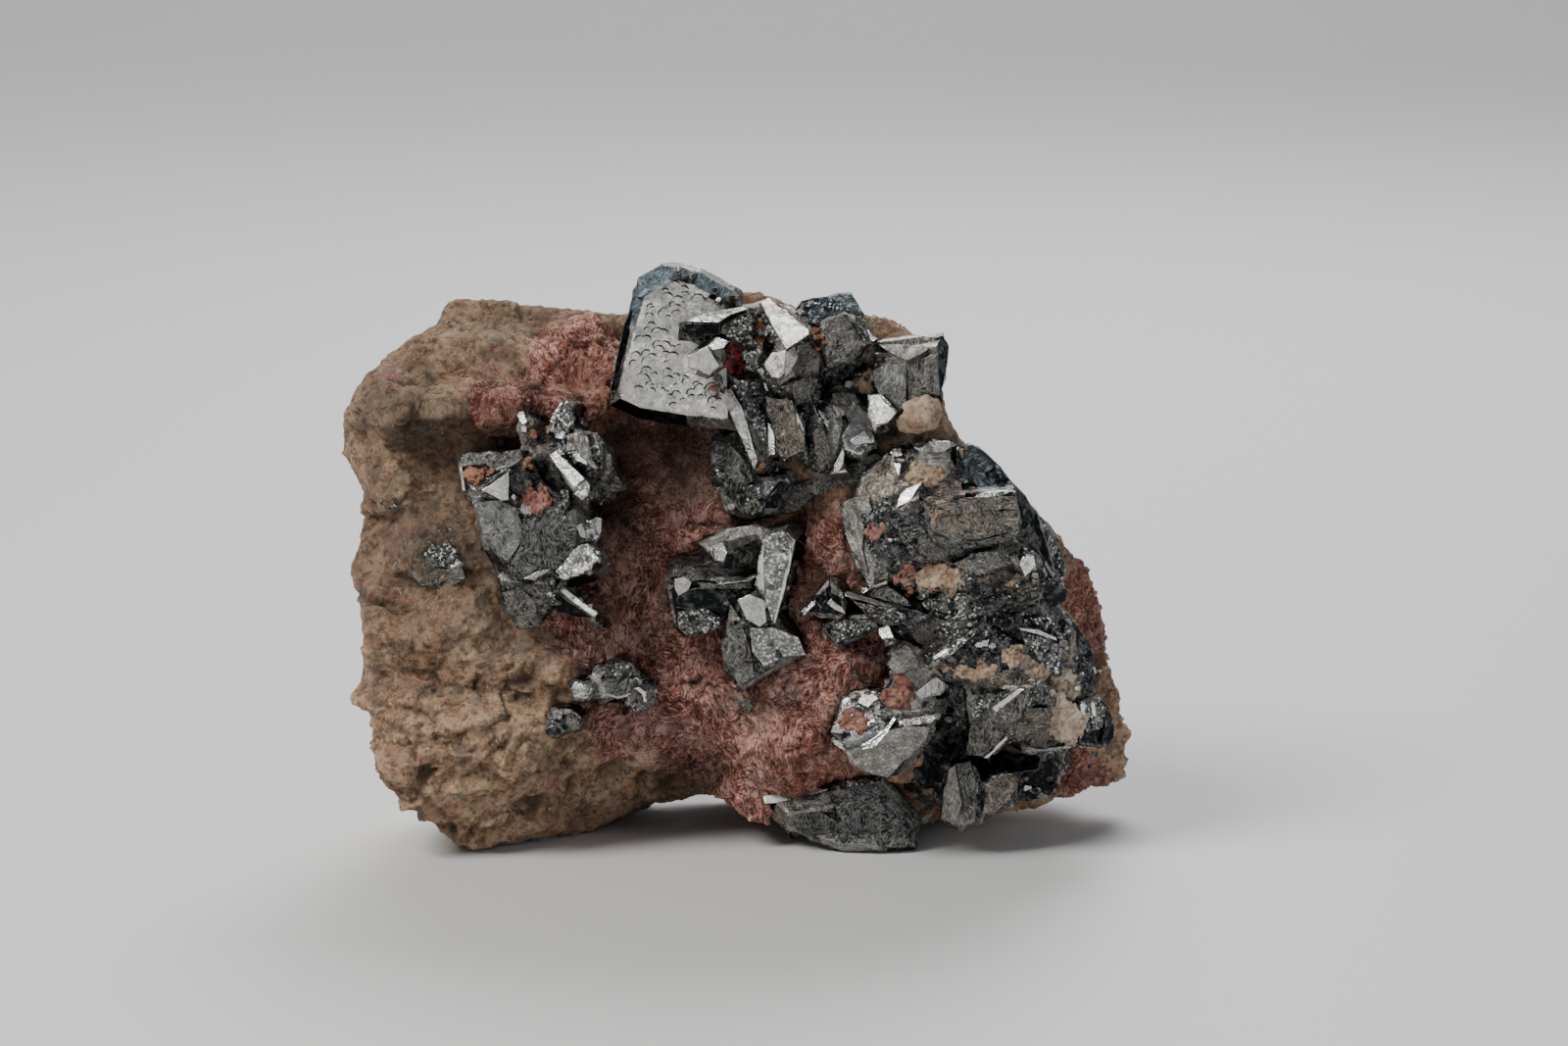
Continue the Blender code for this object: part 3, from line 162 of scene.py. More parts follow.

# Smaller crystals and broken faces: look, height in mm above what they grow on, and the
# corners (u, v) of the face that is seen
# White faces here are painted highlights; the black and dark strips in crevices and hollows are
# painted shade
SHARDS = (
    # At the top
    ("painted_highlight", 0.9, (775, 308, 784, 304, 825, 336, 826, 341, 802, 357, 783, 324)),
    ("silver", 0.8, (779, 372, 787, 360, 802, 356, 803, 378, 795, 386, 787, 385)),
    ("sparkle", 0.6, (782, 332, 790, 330, 800, 345, 790, 358, 779, 361, 778, 348)),
    ("painted_highlight", 1.3, (696, 328, 703, 325, 722, 319, 757, 313, 763, 315, 745, 321, 733, 329)),
    ("black_painted_shade", 1.2, (696, 330, 735, 330, 734, 341, 717, 342, 708, 350, 701, 342, 695, 338)),
    ("grey", 1.1, (737, 332, 748, 324, 750, 330, 741, 342, 735, 340)),
    ("sparkle", 0.9, (748, 326, 763, 317, 768, 322, 768, 352, 752, 349, 741, 343)),
    ("painted_highlight", 1.7, (722, 352, 731, 343, 744, 348, 738, 355, 727, 357)),
    ("silver", 1.6, (702, 363, 722, 353, 728, 364, 734, 373, 724, 382, 712, 378, 702, 375)),
    ("grey", 1.5, (728, 358, 739, 353, 737, 366, 734, 372)),
    ("painted_highlight", 0.8, (771, 377, 778, 374, 782, 384, 779, 389)),
    ("painted_highlight", 0.7, (778, 389, 782, 391, 785, 400, 781, 399)),
    ("grey", 0.7, (843, 333, 852, 326, 864, 320, 873, 336, 884, 352, 872, 359, 872, 366, 858, 371,
        844, 370, 842, 350)),
    ("sparkle", 0.6, (872, 322, 880, 321, 887, 348, 884, 352, 874, 336)),
    ("dusk", 0.5, (811, 316, 818, 307, 835, 303, 850, 303, 862, 317, 850, 325, 840, 329, 822, 329)),
    ("painted_highlight", 0.7, (845, 310, 852, 307, 856, 313, 850, 317)),
    ("blue", 0.5, (851, 302, 858, 298, 868, 298, 880, 318, 872, 324, 862, 313)),
    ("pale", 0.6, (895, 350, 912, 351, 940, 352, 948, 356, 940, 362, 925, 368, 905, 359)),
    ("smooth", 0.6, (890, 378, 905, 370, 925, 372, 925, 417, 908, 419, 893, 395)),
    ("grey", 0.5, (927, 369, 957, 360, 951, 402, 936, 409, 926, 417)),
    ("black_painted_shade", 0.5, (955, 344, 962, 342, 968, 353, 966, 376, 960, 400, 962, 412, 951, 405,
        955, 385, 957, 356)),
    ("painted_highlight", 0.8, (885, 403, 897, 402, 903, 410, 915, 421, 906, 431, 893, 434, 889, 418)),
    ("dark", 0.6, (893, 436, 906, 432, 911, 429, 907, 440, 897, 441)),
    ("pale", 0.7, (801, 359, 811, 352, 815, 364, 806, 381, 800, 386)),
    ("grey", 0.6, (813, 350, 822, 344, 832, 358, 839, 372, 820, 376, 812, 366)),
    ("dark", 0.4, (840, 376, 872, 368, 893, 372, 885, 392, 840, 402, 822, 396)),
    ("grey", 0.7, (808, 392, 822, 383, 832, 396, 826, 407, 810, 408)),
    ("silver", 0.9, (737, 398, 746, 396, 757, 415, 763, 434, 773, 470, 769, 479, 757, 450,
        748, 430, 741, 412)),
    ("sparkle", 0.5, (748, 396, 758, 385, 770, 382, 780, 402, 782, 440, 781, 466, 773, 470,
        763, 434, 757, 415)),
    ("pale", 0.8, (763, 430, 767, 430, 774, 450, 773, 459, 769, 452)),
    ("painted_highlight", 0.8, (782, 431, 790, 433, 791, 463, 783, 467)),
    ("matte", 0.7, (781, 404, 795, 407, 808, 409, 814, 425, 821, 446, 822, 459, 812, 463,
        800, 470, 792, 462, 790, 434, 783, 425)),
    ("painted_highlight", 0.9, (812, 417, 816, 426, 822, 440, 821, 449, 818, 444, 813, 428)),
    ("painted_highlight", 0.9, (812, 455, 822, 452, 821, 461, 813, 462)),
    ("painted_highlight", 0.8, (791, 457, 798, 461, 799, 466, 792, 463)),
    ("pale", 0.6, (849, 401, 856, 400, 872, 401, 877, 411, 872, 420, 858, 425, 851, 428, 848, 414)),
    ("painted_highlight", 0.6, (835, 418, 841, 419, 848, 434, 844, 436)),
    ("painted_highlight", 0.8, (868, 450, 873, 444, 882, 439, 891, 452, 880, 453, 873, 454)),
    ("grey", 0.7, (876, 456, 893, 453, 894, 457, 884, 461)),
    ("painted_highlight", 0.8, (850, 481, 851, 474, 860, 456, 862, 463, 860, 475, 856, 481)),
    ("matte", 0.6, (830, 441, 838, 434, 845, 449, 849, 470, 838, 473, 831, 460)),
    ("pale", 0.6, (802, 479, 815, 480, 820, 489, 809, 496, 801, 487)),
    ("pale", 0.5, (818, 482, 850, 479, 838, 488, 822, 488)),
    ("black_painted_shade", 0.6, (799, 491, 807, 494, 800, 512, 792, 518, 779, 519, 785, 507)),
    ("sparkle", 0.5, (757, 496, 778, 492, 796, 489, 785, 504, 777, 520, 766, 526, 756, 511)),
    ("dusk", 0.5, (783, 470, 792, 470, 795, 480, 788, 486, 783, 482)),
    ("murky", 0.3, (727, 440, 733, 438, 748, 455, 765, 478, 768, 490, 755, 500, 740, 501,
        728, 500, 724, 470)),
    ("grey", 0.5, (806, 497, 850, 481, 893, 462, 905, 468, 880, 489, 850, 501, 831, 506, 812, 521,
        792, 527, 786, 524)),
    # Right mass
    ("pale", 0.5, (857, 514, 870, 507, 886, 505, 890, 520, 882, 532, 880, 560, 886, 585, 878, 580,
        868, 560, 862, 545)),
    ("pale", 0.4, (893, 449, 905, 444, 925, 444, 933, 449, 920, 455, 900, 454)),
    ("painted_highlight", 0.7, (907, 460, 910, 456, 920, 457, 921, 465, 910, 466)),
    ("painted_highlight", 0.7, (911, 472, 920, 472, 917, 487)),
    ("painted_highlight", 0.8, (914, 518, 918, 505, 925, 498, 934, 495, 942, 491, 935, 500, 929, 511)),
    ("silver", 0.6, (942, 455, 948, 450, 960, 450, 970, 450, 971, 456, 958, 462, 945, 461)),
    ("black_painted_shade", 0.4, (970, 456, 977, 453, 977, 470, 975, 480, 971, 470)),
    ("blue", 0.7, (988, 475, 993, 466, 1010, 470, 1005, 480, 1007, 490, 1018, 499, 1000, 503,
        994, 490)),
    ("dusk", 0.7, (1010, 470, 1018, 476, 1032, 490, 1038, 505, 1028, 501, 1018, 499, 1008, 490,
        1004, 480)),
    ("painted_highlight", 0.7, (992, 508, 1003, 502, 1028, 500, 1029, 504, 1010, 508)),
    ("black_painted_shade", 0.4, (1020, 476, 1030, 488, 1047, 506, 1055, 528, 1047, 540, 1040, 512)),
    ("matte", 0.8, (953, 515, 985, 508, 1035, 506, 1038, 519, 1000, 522, 960, 527)),
    ("matte", 0.5, (955, 528, 1005, 521, 1038, 520, 1040, 541, 1000, 550, 975, 552, 950, 541)),
    ("grey", 0.4, (935, 545, 965, 548, 1000, 552, 1040, 542, 1030, 553, 985, 560, 962, 572,
        940, 575)),
    # Painted shade in a crevice
    ("black_painted_shade", 0.2, (962, 571, 985, 561, 1035, 552, 1041, 556, 1000, 563, 972, 575)),
    ("grey", 0.5, (972, 575, 1000, 563, 1020, 562, 1035, 575, 1010, 582, 1000, 590)),
    ("painted_highlight", 0.9, (1041, 577, 1047, 567, 1055, 567, 1057, 576, 1046, 588)),
    ("sparkle", 0.5, (1058, 560, 1070, 575, 1085, 595, 1078, 600, 1068, 592, 1060, 580)),
    ("painted_highlight", 0.6, (1066, 571, 1076, 586, 1074, 589, 1066, 576)),
    ("black_painted_shade", 0.3, (1066, 600, 1078, 598, 1090, 602, 1088, 612, 1074, 620, 1067, 614)),
    # Painted shade in a crevice
    ("dark", 0.3, (1000, 596, 1030, 600, 1040, 610, 1035, 622, 1010, 630, 1000, 620)),
    ("dark", 0.4, (1082, 628, 1100, 640, 1113, 658, 1116, 675, 1118, 700, 1105, 705, 1092, 690,
        1085, 660)),
    ("painted_highlight", 0.9, (1040, 640, 1060, 642, 1078, 650, 1079, 654, 1060, 648, 1042, 643)),
    ("sparkle", 0.7, (1042, 645, 1075, 652, 1080, 670, 1085, 690, 1070, 690, 1050, 672)),
    ("sparkle", 0.6, (1050, 630, 1078, 628, 1082, 645, 1060, 640)),
    ("sparkle", 0.7, (1100, 715, 1112, 712, 1122, 712, 1128, 725, 1125, 742, 1110, 748, 1102, 740)),
    ("painted_highlight", 0.8, (1102, 718, 1107, 716, 1108, 735, 1104, 738)),
    ("painted_highlight", 0.8, (1113, 716, 1117, 716, 1119, 732, 1115, 736)),
    ("dark", 0.6, (1122, 712, 1132, 722, 1137, 738, 1128, 742, 1126, 728)),
    ("black_painted_shade", 0.4, (1126, 742, 1137, 738, 1137, 752, 1131, 762, 1124, 756)),
    ("grey", 0.9, (985, 770, 990, 745, 1010, 720, 1040, 700, 1050, 702, 1040, 725, 1025, 750,
        1003, 772)),
    ("painted_highlight", 1.0, (1012, 722, 1038, 703, 1046, 703, 1030, 716, 1016, 727)),
    ("painted_highlight", 1.0, (1003, 773, 1012, 766, 1027, 750, 1028, 754, 1008, 774)),
    ("sparkle", 0.7, (992, 716, 1030, 706, 1040, 703, 1010, 722, 990, 740)),
    ("matte", 0.6, (1033, 735, 1045, 722, 1070, 722, 1075, 755, 1060, 762, 1037, 752)),
    ("pale", 0.8, (1045, 761, 1062, 764, 1090, 760, 1096, 762, 1075, 767, 1055, 768)),
    ("black_painted_shade", 0.2, (990, 703, 1015, 700, 1030, 704, 1012, 709, 992, 709)),
    ("pale", 0.7, (862, 765, 880, 762, 905, 745, 925, 740, 950, 742, 945, 755, 925, 775, 905, 793,
        890, 790, 868, 780)),
    ("painted_highlight", 0.9, (867, 768, 872, 767, 884, 780, 890, 789, 884, 787, 872, 779)),
    ("painted_highlight", 0.8, (920, 734, 935, 731, 957, 728, 955, 733, 940, 739, 922, 741)),
    ("mirror", 0.9, (878, 760, 892, 752, 905, 740, 912, 730, 915, 733, 905, 748, 893, 762,
        880, 765)),
    ("silver", 0.6, (842, 750, 855, 750, 866, 760, 862, 766, 852, 760)),
    ("silver", 0.5, (868, 705, 885, 704, 897, 712, 885, 722, 872, 715)),
    ("mirror", 0.6, (935, 705, 955, 690, 970, 700, 960, 712, 940, 722)),
    ("grey", 0.5, (955, 715, 970, 708, 965, 728, 950, 726)),
    ("pale", 0.9, (960, 836, 963, 805, 968, 785, 975, 780, 978, 800, 982, 820, 975, 838)),
    ("grey", 0.8, (975, 779, 990, 777, 994, 790, 997, 820, 985, 840, 982, 820, 978, 800)),
    ("matte", 0.8, (1003, 830, 1005, 800, 1020, 790, 1035, 792, 1040, 800, 1030, 815, 1015, 830)),
    ("silver", 0.9, (1003, 802, 1010, 792, 1025, 787, 1035, 790, 1022, 791, 1010, 797)),
    ("grey", 0.4, (925, 830, 950, 800, 962, 798, 958, 815, 945, 835, 938, 842)),
    ("painted_highlight", 0.5, (940, 833, 950, 825, 955, 825, 948, 838, 941, 842)),
    ("silver", 0.4, (778, 812, 800, 808, 830, 803, 845, 805, 828, 812, 805, 818, 780, 820)),
    ("murky", 0.4, (845, 812, 880, 800, 905, 805, 915, 820, 930, 845, 925, 865, 890, 862,
        865, 845)),
    ("murky", 0.4, (790, 822, 830, 822, 862, 845, 880, 862, 850, 866, 815, 848)),
    # Right of the middle
    ("painted_highlight", 1.0, (862, 605, 864, 603, 885, 609, 905, 615, 925, 620, 940, 622, 928, 624,
        905, 620, 885, 614, 863, 608)),
    ("sparkle", 0.8, (870, 613, 886, 616, 905, 621, 925, 626, 925, 635, 905, 640, 890, 632)),
    ("painted_highlight", 0.9, (880, 605, 890, 598, 905, 592, 906, 596, 893, 602)),
    ("grey", 0.8, (890, 603, 906, 598, 918, 606, 926, 612, 928, 617, 905, 613, 888, 608)),
    ("painted_highlight", 0.8, (817, 623, 829, 612, 832, 616, 820, 628)),
    ("black_painted_shade", 0.7, (830, 612, 842, 600, 845, 612, 838, 620)),
    ("silver", 0.8, (843, 615, 848, 611, 860, 620, 863, 626, 852, 622)),
    ("pale", 0.6, (832, 607, 840, 597, 846, 590, 846, 597, 838, 606)),
    ("grey", 0.6, (847, 590, 860, 605, 862, 612, 848, 605)),
    ("sparkle", 0.6, (850, 636, 862, 632, 890, 633, 885, 642, 862, 652, 850, 658)),
    ("silver", 0.6, (839, 636, 844, 636, 843, 658, 838, 660)),
    ("painted_highlight", 1.0, (896, 640, 907, 638, 912, 650, 900, 652, 897, 648)),
    ("sparkle", 0.8, (899, 653, 912, 651, 914, 655, 910, 659, 901, 657)),
    ("painted_highlight", 0.8, (916, 643, 922, 641, 921, 648, 917, 649)),
    ("pale", 0.6, (905, 678, 912, 665, 925, 657, 932, 665, 938, 676, 936, 682, 915, 688)),
    ("sparkle", 0.5, (938, 668, 950, 664, 970, 655, 995, 640, 1000, 643, 975, 665, 955, 680,
        945, 680)),
    ("painted_highlight", 0.6, (950, 669, 968, 660, 985, 648, 987, 651, 970, 664, 953, 673)),
    ("matte", 0.4, (925, 635, 950, 630, 965, 632, 968, 655, 950, 662, 935, 655)),
    ("sparkle", 0.5, (940, 615, 955, 605, 985, 605, 990, 615, 985, 635, 968, 632, 950, 628)),
    # Middle
    ("painted_highlight", 1.0, (726, 562, 731, 553, 738, 553, 742, 563, 738, 573, 729, 572)),
    ("pale", 0.8, (739, 554, 752, 549, 772, 545, 775, 550, 760, 556, 743, 562)),
    ("black_painted_shade", 0.5, (743, 566, 765, 558, 760, 568, 745, 582, 735, 580, 733, 574, 738, 574)),
    ("painted_highlight", 0.9, (730, 593, 760, 590, 770, 585, 772, 588, 762, 593, 735, 596)),
    ("grey", 0.8, (712, 594, 740, 596, 765, 594, 768, 600, 750, 601, 715, 600)),
    ("black_painted_shade", 0.7, (692, 606, 710, 600, 745, 602, 752, 608, 730, 616, 712, 622, 690, 620)),
    ("sparkle", 0.6, (692, 624, 720, 620, 735, 630, 735, 640, 715, 648, 700, 648, 692, 640)),
    ("silver", 0.9, (688, 590, 698, 588, 705, 594, 702, 602, 692, 608, 688, 600)),
    ("grey", 0.8, (683, 590, 688, 580, 700, 576, 718, 580, 722, 590, 705, 592, 690, 588)),
    ("glitter", 0.9, (780, 545, 800, 542, 808, 552, 806, 570, 800, 600, 792, 635, 788, 636,
        780, 610, 779, 570)),
    ("painted_highlight", 1.0, (806, 561, 809, 565, 801, 600, 791, 637, 789, 634, 797, 600)),
    ("black_painted_shade", 0.8, (806, 556, 812, 550, 822, 556, 822, 566, 812, 572, 808, 570)),
    ("dark", 0.7, (809, 572, 816, 572, 806, 600, 796, 636, 792, 637, 802, 600)),
    ("silver", 0.8, (752, 612, 765, 606, 780, 612, 782, 635, 775, 640, 762, 632)),
    ("grey", 0.7, (740, 650, 745, 615, 755, 630, 765, 660, 770, 690, 755, 700, 742, 680)),
    ("glitter", 0.7, (765, 640, 790, 640, 815, 650, 822, 668, 800, 670, 780, 680, 768, 665)),
    ("dusk", 0.8, (783, 664, 795, 662, 800, 671, 790, 674)),
    ("grey", 0.2, (748, 705, 758, 703, 768, 720, 765, 728, 755, 722)),
    ("grey", 0.2, (800, 712, 815, 702, 817, 705, 805, 718)),
    # Left cluster
    ("painted_highlight", 1.3, (560, 464, 567, 460, 597, 488, 586, 498, 570, 478)),
    ("glitter", 1.2, (586, 498, 598, 489, 602, 494, 600, 505, 594, 510, 585, 504)),
    ("painted_highlight", 1.0, (584, 463, 589, 461, 601, 470, 597, 474, 588, 470)),
    ("painted_highlight", 0.9, (560, 430, 572, 410, 575, 411, 563, 431)),
    ("sparkle", 0.6, (564, 432, 575, 412, 582, 410, 586, 432, 580, 442, 566, 440)),
    ("blue", 0.8, (564, 440, 570, 438, 578, 441, 574, 448, 567, 447)),
    ("painted_highlight", 0.7, (528, 421, 533, 419, 538, 430, 534, 434, 530, 430)),
    ("silver", 0.7, (531, 434, 538, 434, 537, 441, 533, 441)),
    ("grey", 0.9, (478, 461, 500, 463, 530, 458, 534, 465, 522, 474, 505, 479, 495, 473, 470, 476,
        468, 472)),
    ("painted_highlight", 1.0, (505, 477, 522, 472, 533, 465, 534, 468, 522, 476, 506, 481)),
    ("painted_highlight", 0.9, (468, 474, 471, 475, 475, 500, 472, 500)),
    ("silver", 1.1, (492, 500, 519, 480, 519, 510, 512, 511)),
    ("grey", 1.0, (480, 504, 505, 484, 518, 479, 492, 499)),
    ("painted_highlight", 0.8, (521, 507, 524, 503, 528, 507, 525, 511)),
    ("grey", 0.8, (520, 482, 535, 480, 545, 495, 548, 510, 530, 505, 521, 500)),
    ("dark", 0.8, (545, 470, 562, 468, 572, 482, 572, 500, 560, 505, 550, 495)),
    ("sparkle", 0.7, (572, 500, 580, 500, 582, 515, 575, 525, 568, 515)),
    ("pale", 0.8, (585, 445, 592, 442, 600, 445, 605, 470, 612, 478, 605, 478, 590, 462)),
    ("grey", 0.4, (603, 492, 640, 492, 638, 500, 610, 504)),
    ("smooth", 0.5, (487, 512, 510, 510, 528, 518, 534, 540, 530, 556, 518, 573, 506, 566,
        492, 545)),
    ("murky", 0.5, (532, 530, 560, 525, 588, 535, 588, 555, 575, 575, 560, 586, 535, 588,
        522, 575, 532, 555)),
    ("glitter", 1.0, (567, 583, 590, 556, 600, 554, 606, 562, 611, 570, 603, 580, 592, 584,
        575, 589)),
    ("painted_highlight", 1.2, (598, 560, 606, 562, 611, 570, 604, 577, 599, 568)),
    ("black_painted_shade", 1.1, (603, 580, 608, 573, 615, 576, 612, 584, 606, 584)),
    ("silver", 0.9, (588, 536, 594, 533, 600, 548, 598, 550, 592, 548)),
    ("silver", 0.9, (607, 527, 614, 528, 614, 540, 612, 548, 610, 545, 607, 535)),
    ("silver", 1.0, (570, 602, 576, 599, 596, 615, 610, 625, 606, 629, 590, 618)),
    ("grey", 0.8, (552, 609, 566, 600, 572, 592, 580, 592, 577, 600, 570, 604)),
    ("black_painted_shade", 0.3, (556, 610, 570, 606, 590, 620, 605, 630, 590, 630, 570, 625)),
    ("grey", 0.6, (512, 605, 530, 600, 545, 612, 550, 635, 540, 641, 528, 630, 518, 618)),
    ("silver", 1.0, (535, 590, 548, 583, 566, 579, 550, 588, 546, 593)),
    # The edges of the wide plate
    ("slate", 0.3, (650, 285, 675, 271, 690, 273, 692, 283, 672, 297, 655, 303, 649, 303)),
    ("black_painted_shade", 0.2, (648, 305, 654, 304, 640, 350, 628, 398, 622, 400, 637, 330)),
    ("pale", 0.4, (622, 398, 628, 365, 635, 350, 637, 356, 628, 400)),
    # Low on the left
    ("painted_highlight", 0.6, (586, 700, 588, 697, 594, 697, 596, 700, 594, 703, 588, 703)),
    ("pale", 0.5, (600, 697, 603, 702, 600, 709, 592, 710, 584, 707, 585, 703, 592, 706, 597, 704)),
    ("murky", 0.5, (616, 692, 630, 690, 645, 692, 643, 707, 630, 710, 618, 706)),
    ("silver", 0.6, (618, 706, 630, 710, 643, 707, 640, 711, 630, 713, 619, 710)),
    ("sparkle", 0.4, (616, 680, 630, 676, 646, 680, 644, 690, 630, 690, 617, 691)),
    ("painted_highlight", 0.6, (646, 702, 652, 700, 659, 706, 660, 716, 657, 716, 655, 708, 650, 704)),
    ("black_painted_shade", 0.5, (634, 724, 638, 722, 641, 727, 638, 731, 634, 729)),
    ("pale", 0.4, (562, 724, 568, 722, 575, 727, 573, 734, 565, 734)),
    ("grey", 0.6, (578, 729, 586, 728, 592, 734, 591, 744, 582, 745, 577, 738)),
    ("black_painted_shade", 0.5, (558, 743, 565, 740, 572, 743, 573, 749, 566, 752, 559, 749)),
    ("sparkle", 0.6, (434, 566, 441, 553, 449, 556, 457, 551, 466, 562, 463, 573, 455, 571,
        449, 580, 439, 575)),
    ("grey", 0.6, (418, 585, 437, 562, 441, 578, 455, 582, 470, 575, 476, 590, 460, 598, 430, 597)),
    ("sparkle", 0.7, (385, 512, 392, 505, 404, 508, 405, 517, 395, 521)),
    # Right of the lowest hollow
    # Black and dark faces that are painted shade in the deep hollow
    ("black_painted_shade", 0.6, (965, 742, 985, 740, 1002, 752, 998, 775, 975, 778, 962, 765)),
    ("black_painted_shade", 0.6, (1010, 775, 1040, 768, 1062, 772, 1060, 785, 1035, 788, 1012, 790)),
    ("dark", 0.6, (1065, 770, 1095, 766, 1120, 768, 1112, 785, 1085, 795, 1068, 788)),
)

# Zones of small broken crystals: middle (u, v), half width, half height and number
CHIP_ZONES = (
    (845, 400, 25, 18, 14), (800, 455, 25, 18, 12), (920, 462, 16, 10, 8),
    (930, 562, 34, 16, 26), (968, 620, 34, 26, 34), (1045, 600, 30, 20, 16),
    (985, 662, 30, 14, 18), (900, 650, 40, 16, 16), (880, 690, 18, 30, 16),
    (885, 725, 20, 12, 12), (1065, 655, 26, 18, 18), (1010, 720, 20, 14, 10),
    (760, 625, 22, 24, 14), (800, 600, 12, 40, 12), (760, 515, 20, 12, 12),
    (735, 470, 14, 30, 12), (560, 470, 25, 30, 16), (600, 600, 20, 20, 8),
    (585, 440, 18, 14, 12), (740, 395, 20, 12, 8), (630, 690, 18, 10, 10),
    (655, 700, 12, 14, 8), (925, 600, 18, 8, 6), (960, 730, 20, 12, 8),
    (450, 572, 24, 14, 30), (394, 513, 9, 6, 9), (500, 505, 10, 14, 8),
    (740, 303, 20, 12, 16), (1110, 690, 12, 30, 12), (1060, 800, 26, 20, 10),
)
CHIP_SIZE = (1.8, 4.6)      # pixels
CHIP_WIDTH = 1.3            # width to height
CHIP_LIFT = (0.25, 0.75)    # mm above what lies behind
CHIP_SIDES = (4, 5, 6)
# Most chips are black or dark, which also paints in shade between the larger crystals
CHIP_LOOKS = (
    "black_painted_shade", "black_painted_shade", "black_painted_shade", "dark", "dark", "dark", "grey", "grey", "grey", "matte",
    "matte", "sparkle", "sparkle", "pale", "pale", "silver", "painted_highlight",
)

# Crusts and grains between the crystals: kind, middle (u, v), half width and half height
GRAINS = (
    ("tan", 778, 304, 24, 5), ("tan", 797, 309, 12, 6), ("tan", 905, 327, 24, 8),
    ("tan", 884, 388, 10, 14), ("tan", 945, 484, 20, 13), ("tan", 970, 525, 20, 12),
    ("tan", 960, 590, 24, 16), ("tan", 983, 460, 7, 8), ("tan", 965, 682, 18, 9),
    ("tan", 995, 685, 26, 10), ("tan", 1036, 670, 14, 12), ("tan", 1058, 686, 16, 11),
    ("tan", 1035, 598, 18, 7), ("tan", 1052, 605, 12, 6), ("tan", 948, 810, 10, 6),
    ("cream", 1085, 702, 15, 17), ("cream", 1090, 736, 19, 22), ("cream", 1072, 684, 10, 8),
    ("tan", 1114, 602, 8, 9), ("tan", 1126, 664, 8, 12), ("tan", 1127, 692, 8, 14),
    ("tan", 1145, 786, 11, 12), ("tan", 1086, 557, 8, 8),
    ("orange", 775, 338, 6, 15), ("orange", 731, 397, 9, 6), ("orange", 836, 344, 6, 14),
    ("red", 889, 352, 4, 6), ("red", 996, 498, 8, 8), ("red", 894, 541, 13, 9),
    ("red", 926, 588, 12, 13), ("orange", 928, 606, 5, 8), ("red", 914, 707, 17, 16),
    ("red", 872, 738, 16, 14), ("red", 1102, 590, 13, 18), ("red", 1110, 622, 11, 15),
    ("red", 1119, 646, 8, 13), ("red", 1096, 574, 9, 8), ("red", 1112, 790, 22, 14),
    ("orange", 484, 482, 10, 12), ("orange", 499, 478, 6, 6), ("orange", 540, 474, 8, 8),
    ("red", 547, 511, 16, 13), ("red", 551, 440, 13, 7), ("orange", 776, 479, 4, 11),
    ("glass", 746, 355, 5, 8), ("glass", 745, 373, 5, 7), ("glass", 751, 364, 4, 6),
    ("glass", 756, 375, 4, 9),
)
GRAIN_RISE = {"orange": 0.9, "glass": 1.4}      # mm above what lies behind
GRAIN_ROUGHNESS = {"glass": 0.08}               # others have that of the crusts
CRUST_ROUGHNESS = 0.7
FEWEST_LUMPS = 8
LUMP_AREA = 6               # square pixels of a patch for each lump
LUMP_SIZE = (0.16, 0.44)    # share of the patch's smaller half
LEAST_LUMP = 0.22           # mm
LUMP_WIDTH = (0.9, 1.5)     # share of its size
LUMP_DEPTH = 0.7
LUMP_TALLNESS = (0.8, 1.3)
GRAIN_VOXEL = 0.2           # mm
GRAIN_RELIEF = 0.27         # mm
GRAIN_COLOURS = {
    "tan": ((0.50, 0.34, 0.22), (0.68, 0.53, 0.38), (0.22, 0.13, 0.08), "tan_crust"),
    "cream": ((0.66, 0.51, 0.37), (0.80, 0.68, 0.53), (0.36, 0.24, 0.16), "tan_crust"),
    "orange": ((0.38, 0.155, 0.085), (0.52, 0.27, 0.17), (0.11, 0.042, 0.026), "rock"),
    "red": ((0.36, 0.15, 0.105), (0.52, 0.28, 0.21), (0.13, 0.045, 0.035), "rock"),
    "glass": ((0.16, 0.006, 0.012), (0.34, 0.01, 0.02), (0.03, 0.002, 0.004), "rock"),
}

# Growth marks on the wide plate
PLATE_MIDDLE = (680, 400)   # pixel on the plate
MARKS_FROM = (638, 292)     # pixel of the first mark
MARK_STEP = (10.0, 6.6)     # pixels from one column and one row to the next
MARK_JITTER = (4.5, 3.5)    # pixels
MARK_COLUMNS = 12
MARK_ROWS = 23
MARK_RADIUS = (0.30, 0.95)  # mm
MARK_TURN = (-0.8, 0.5)     # radians that the middle of an arch is turned
MARK_SWEEP = (1.1, 2.6)     # radians that an arch spans
MARK_SHARE = 0.75           # share of the places that have a mark
MARK_STEPS = 9              # points on the arch of a mark
MARK_WIDTH = 0.23           # mm
MARK_HEIGHT = 0.10          # mm
MARK_SINK = 0.02            # mm
MARK_ROOT = 0.5             # mm
MARK_EDGE = 0.30            # mm of plate that there is around a mark
MARK_EDGE_ANGLES = (0.0, 1.57, 3.14, 4.71, 5.5)
PLATE_FLATNESS = 0.05       # mm

